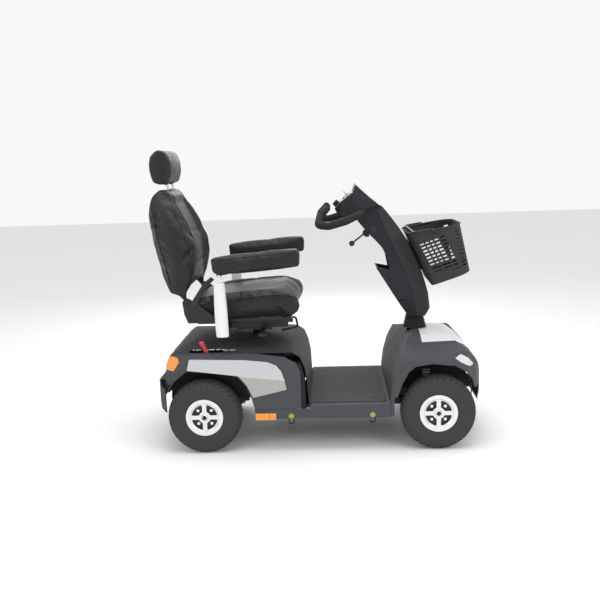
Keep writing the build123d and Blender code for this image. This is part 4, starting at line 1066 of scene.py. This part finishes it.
class SCOOTER_OT_basket(Builder):
    """Slotted basket with its rolled rim and wire handle"""

    bl_idname = "scooter.basket"
    bl_label = "Basket"

    def build(self):
        lean = math.radians(18)
        along = Vector((math.cos(lean), 0, math.sin(lean)))
        up = Vector((-math.sin(lean), 0, math.cos(lean)))
        base = at(1017.5, 0, 666)
        basket = from_node("slotted_basket", "basket")
        cutter = bmesh.new()
        rows = 10
        for row in range(rows):
            height = 0.036 + row * 0.0158
            flare = height * math.tan(math.radians(6))
            slant = (row - (rows - 1) / 2) * 0.0026
            for start, end in ((-0.070, -0.034), (-0.027, 0.007), (0.014, 0.033)):
                middle = (start + end) / 2 - slant
                for side in (NEAR, FAR):
                    place = base + self.offset(along, up, middle, side * (0.150 + flare), height)
                    self.slot(cutter, place, along, up, (end - start) / 2, 0.016, 0)
            for centre, half in ((-0.054, 0.018), (0.0, 0.026), (0.054, 0.018)):
                lean_out = 0.3 * slant * (1 if centre > 0 else -1 if centre else 0)
                place = base + self.offset(along, up, 0.085 + flare, centre + lean_out, height)
                self.slot(cutter, place, along, up, 0.016, half, 0)
            for side in (NEAR, FAR):
                reach = (0.070 + flare) * math.sqrt(0.5)
                place = base + self.offset(along, up, 0.015 + reach, side * (0.080 + reach), height)
                self.slot(cutter, place, along, up, 0.012, 0.014, side * math.pi / 4)
        knife = solid("basket_slots", cutter, False)
        cut = basket.modifiers.new("slots", "BOOLEAN")
        cut.operation = "DIFFERENCE"
        cut.solver = "EXACT"
        cut.object = knife
        apply_all(basket)
        bpy.data.objects.remove(knife)
        soften(basket, 0.0008, 40)
        apply_all(basket)
        basket.data.polygons.foreach_set("use_smooth", [False] * len(basket.data.polygons))
        dress(basket, black_plastic(), "basket")
        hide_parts("basket")
        finish_node("basket_handle", black_steel(), 0)
        self.rim(basket)

    def offset(self, along, up, ahead, left, height):
        """From the middle of the basket's floor, in the basket's own leaning directions."""
        return along * ahead + up * height + Vector((0, left, 0))

    def slot(self, bm, place, along, up, half_length, half_width, turn):
        """Adds the block that cuts one slot."""
        frame_of = Matrix((along, Vector((0, 1, 0)), up)).transposed().to_4x4()
        frame_of.translation = place
        size = Matrix.Diagonal((half_length * 2, half_width * 2, sizes().slot_height, 1))
        bmesh.ops.create_cube(bm, size=1, matrix=frame_of @ Matrix.Rotation(turn, 4, "Z") @ size)

    def rim(self, basket):
        """The rolled bead along the basket's upper edge."""
        rear, front = at(842, 0, 853), at(1062, 0, 888)
        run = (front - rear).normalized()
        normal = Vector((-run.z, 0, run.x))
        sector = 4
        bm = bmesh.new()
        bm.from_mesh(basket.data)
        centre = (rear + front) / 2
        edge = [v.co.copy() for v in bm.verts if abs((v.co - centre).dot(normal)) < 0.0015]
        bm.free()
        best = {}
        for point in edge:
            offset = point - centre
            angle = round(math.degrees(math.atan2(offset.y, offset.dot(run))) / sector)
            if angle not in best or offset.length > best[angle].length:
                best[angle] = offset
        ring = [centre + best[angle] * 0.995 + normal * 0.001 for angle in sorted(best)]
        bead = wire("basket_rim", ring, 0.0042, True)
        dress(bead, black_plastic(), "basket")


class SCOOTER_OT_seat(Builder):
    """Seat cushion, with its piping and stitching, and the seat metalwork"""

    bl_idname = "scooter.seat"
    bl_label = "Seat"

    def build(self):
        cushion = from_node("seat_pad", "seat_cushion")
        plump(cushion, sizes().voxel, self.sculpt, 0.022, rounds=14)
        dress(cushion, seat_vinyl(), "seat")
        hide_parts("seat_cushion")
        finish_node("seat_base", black_steel())
        for node in ("slide_lever", "swivel_lever", "recline_lever"):
            finish_node(node, black_plastic(), 0.0005)
        self.seams(cushion)

    def sculpt(self, place, normal):
        """Dishes the sitting area, rounds the front roll and presses in the channels."""
        x = (place.x - REAR_AXLE) * 1000
        side = abs(place.y) * 1000
        move = normal * -0.004
        if normal.z > 0.4:
            inside = 1 - smoothstep(side, 130, 200)
            move.z -= 0.013 * inside * smoothstep(x, -40, 60) * (1 - smoothstep(x, 300, 380))
            channel = max(0.0, 1 - abs(side - 168) / 7)
            move.z -= 0.006 * channel
        if abs(normal.y) > 0.6:
            groove = max(0.0, 1 - abs(place.z * 1000 - 590 - (x - 100) * 0.06) / 7)
            move.y -= math.copysign(0.004 * groove, place.y)
        return move

    def seams(self, cushion):
        """A channel each side of the sitting area, and two seams along each flank."""
        tree = surface_of(cushion)
        down = Vector((0, 0, -1))
        for word, side in SIDES:
            inward = Vector((0, -side, 0))
            channel = [at(x, side * 168, 760) for x in range(-50, 391, 22)]
            trim_line(f"seat_channel_{word}", tree, channel, down, "seat", False)
            edge = beside(side, ((-40, 586), (60, 608), (200, 623), (330, 631), (372, 624), (392, 600)))
            trim_line(f"seat_edge_{word}", tree, edge, inward, "seat", True)
            low = beside(side, ((-60, 560), (120, 562), (300, 566), (380, 572)))
            trim_line(f"seat_lower_{word}", tree, low, inward, "seat", False)


def trim_line(name, tree, points, direction, body, piped):
    """Piping along a seam where piped, with a row of stitches each side."""
    path = pushed(tree, points, direction, 0.0005)
    if len(path) < 3:
        raise RuntimeError(f"{name} misses its cushion")
    plain = 0.0012
    radius = sizes().piping if piped else plain
    dress(wire(f"{name}_piping", path, radius), seat_vinyl(), body)
    beside_seam = 0.0065
    for row, offset in (("inner", -beside_seam), ("outer", beside_seam)):
        dress(stitches(f"{name}_stitch_{row}", tree, path, offset), thread(), body)


class SCOOTER_OT_back(Builder):
    """Backrest and headrest with deep side bolsters and piping"""

    bl_idname = "scooter.back"
    bl_label = "Backrest"

    def build(self):
        back = from_node("back_pad", "backrest")
        plump(back, sizes().voxel, self.sculpt_back, 0.022, rounds=14)
        dress(back, seat_vinyl(), "back")
        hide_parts("backrest")
        head = from_node("head_pad", "headrest")
        plump(head, sizes().voxel * 0.9, self.sculpt_head, 0.012, rounds=16)
        dress(head, seat_vinyl(), "headrest")
        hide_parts("headrest")
        self.posts()
        self.seams(back, head)

    def sculpt_back(self, place, normal):
        """Dishes the middle between its bolsters and presses in the cross seams."""
        x = (place.x - REAR_AXLE) * 1000
        z = place.z * 1000
        side = abs(place.y) * 1000
        move = normal * -0.004
        if normal.x > 0.25 and z > 640:
            inside = 1 - smoothstep(side, 105, 165)
            move.x -= 0.03 * inside * smoothstep(z, 650, 720) * (1 - smoothstep(z, 1000, 1060))
            channel = max(0.0, 1 - abs(side - 150) / 7)
            move.x -= 0.005 * channel
            for height in (760, 880):
                line = max(0.0, 1 - abs(z - height) / 8)
                move.x -= 0.005 * line * inside
        return move

    def sculpt_head(self, place, normal):
        """Presses a seam groove round each end of the headrest."""
        side = abs(place.y) * 1000
        move = normal * -0.002
        if abs(normal.y) < 0.5:
            move -= normal * 0.003 * max(0.0, 1 - abs(side - 108) / 6)
        return move

    def posts(self):
        """Chromed posts between backrest and headrest."""
        chrome = shared("post_chrome", metal, (0.7, 0.7, 0.72), 0.15)
        for word, side in SIDES:
            points = [at(-148, side * 52, z) for z in (1000, 1040, 1080, 1110)]
            dress(wire(f"head_post_{word}", points, 0.005), chrome, "headrest")

    def seams(self, back, head):
        """Piping round the bolsters and the middle panel, two cross seams, and the headrest's rings."""
        tree = surface_of(back)
        rear = [(-184, 1030), (-190, 1000), (-168, 851), (-130, 680)]
        front = [(-54, 680), (-42, 730), (-38, 776), (-46, 850), (-78, 926), (-120, 1020)]
        rearward = Vector((-1, 0, 0))
        ahead = 60
        for word, side in SIDES:
            inward = Vector((0, -side, 0))
            trim_line(f"back_rear_{word}", tree, beside(side, rear), inward, "back", True)
            trim_line(f"back_front_{word}", tree, beside(side, front), inward, "back", True)
            panel = [at(ahead, side * 150, z) for z in range(668, 1041, 24)]
            trim_line(f"back_panel_{word}", tree, panel, rearward, "back", True)
        for height in (760, 880):
            line = [at(ahead, y, height) for y in range(-140, 141, 20)]
            trim_line(f"back_cross_{height}", tree, line, rearward, "back", False)
        tree = surface_of(head)
        for word, side in SIDES:
            loop = []
            for step in range(24):
                angle = step * math.pi / 12
                loop.append(at(-163 + 70 * math.cos(angle), side * 108, 1150 + 90 * math.sin(angle)))
            ring = onto(tree, loop, 0.0004)
            piping = wire(f"head_piping_{word}", ring, sizes().piping * 0.8, True)
            dress(piping, seat_vinyl(), "headrest")


class SCOOTER_OT_arms(Builder):
    """Arm pads on their silver posts"""

    bl_idname = "scooter.arms"
    bl_label = "Arm rests"

    def build(self):
        for word, side in SIDES:
            pad = from_node(f"arm_cushion_{word}", f"arm_pad_{word}")
            plump(pad, 0.004, lambda place, normal: normal * -0.0015, 0.006, rounds=5)
            dress(pad, seat_vinyl(), f"pad_{word}")
            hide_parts(f"arm_pad_{word}")
            finish_node(f"arm_post_{word}", silver_panel(), 0.001)
            tree = surface_of(pad)
            edge = beside(side, ((62, 784), (200, 796), (380, 810)), OUTSIDE + 10)
            trim_line(f"arm_seam_{word}", tree, edge, Vector((0, -side, 0)), f"pad_{word}", False)


BUILDERS = (
    SCOOTER_OT_stage, SCOOTER_OT_wheels, SCOOTER_OT_chassis, SCOOTER_OT_shells, SCOOTER_OT_deck,
    SCOOTER_OT_tiller, SCOOTER_OT_basket, SCOOTER_OT_seat, SCOOTER_OT_back, SCOOTER_OT_arms,
)


class SCOOTER_PT_panel(bpy.types.Panel):
    """Lists the scooter's pieces in the sidebar"""

    bl_label = "Mobility Scooter"
    bl_idname = "SCOOTER_PT_panel"
    bl_space_type = "VIEW_3D"
    bl_region_type = "UI"
    bl_category = "Scooter"

    def draw(self, context):
        for group in (context.scene.scooter_colours, context.scene.scooter_sizes):
            box = self.layout.box()
            for key in group.__annotations__:
                box.prop(group, key)
        for builder in BUILDERS:
            self.layout.operator(builder.bl_idname)


CLASSES = (ScooterColours, ScooterSizes, *BUILDERS, SCOOTER_PT_panel)


def register():
    for cls in CLASSES:
        bpy.utils.register_class(cls)
    bpy.types.Scene.scooter_colours = PointerProperty(type=ScooterColours)
    bpy.types.Scene.scooter_sizes = PointerProperty(type=ScooterSizes)


def unregister():
    del bpy.types.Scene.scooter_sizes
    del bpy.types.Scene.scooter_colours
    for cls in reversed(CLASSES):
        bpy.utils.unregister_class(cls)


def main():
    register()
    for builder in BUILDERS:
        group, name = builder.bl_idname.split(".")
        getattr(getattr(bpy.ops, group), name)()


if __name__ == "__main__":
    main()
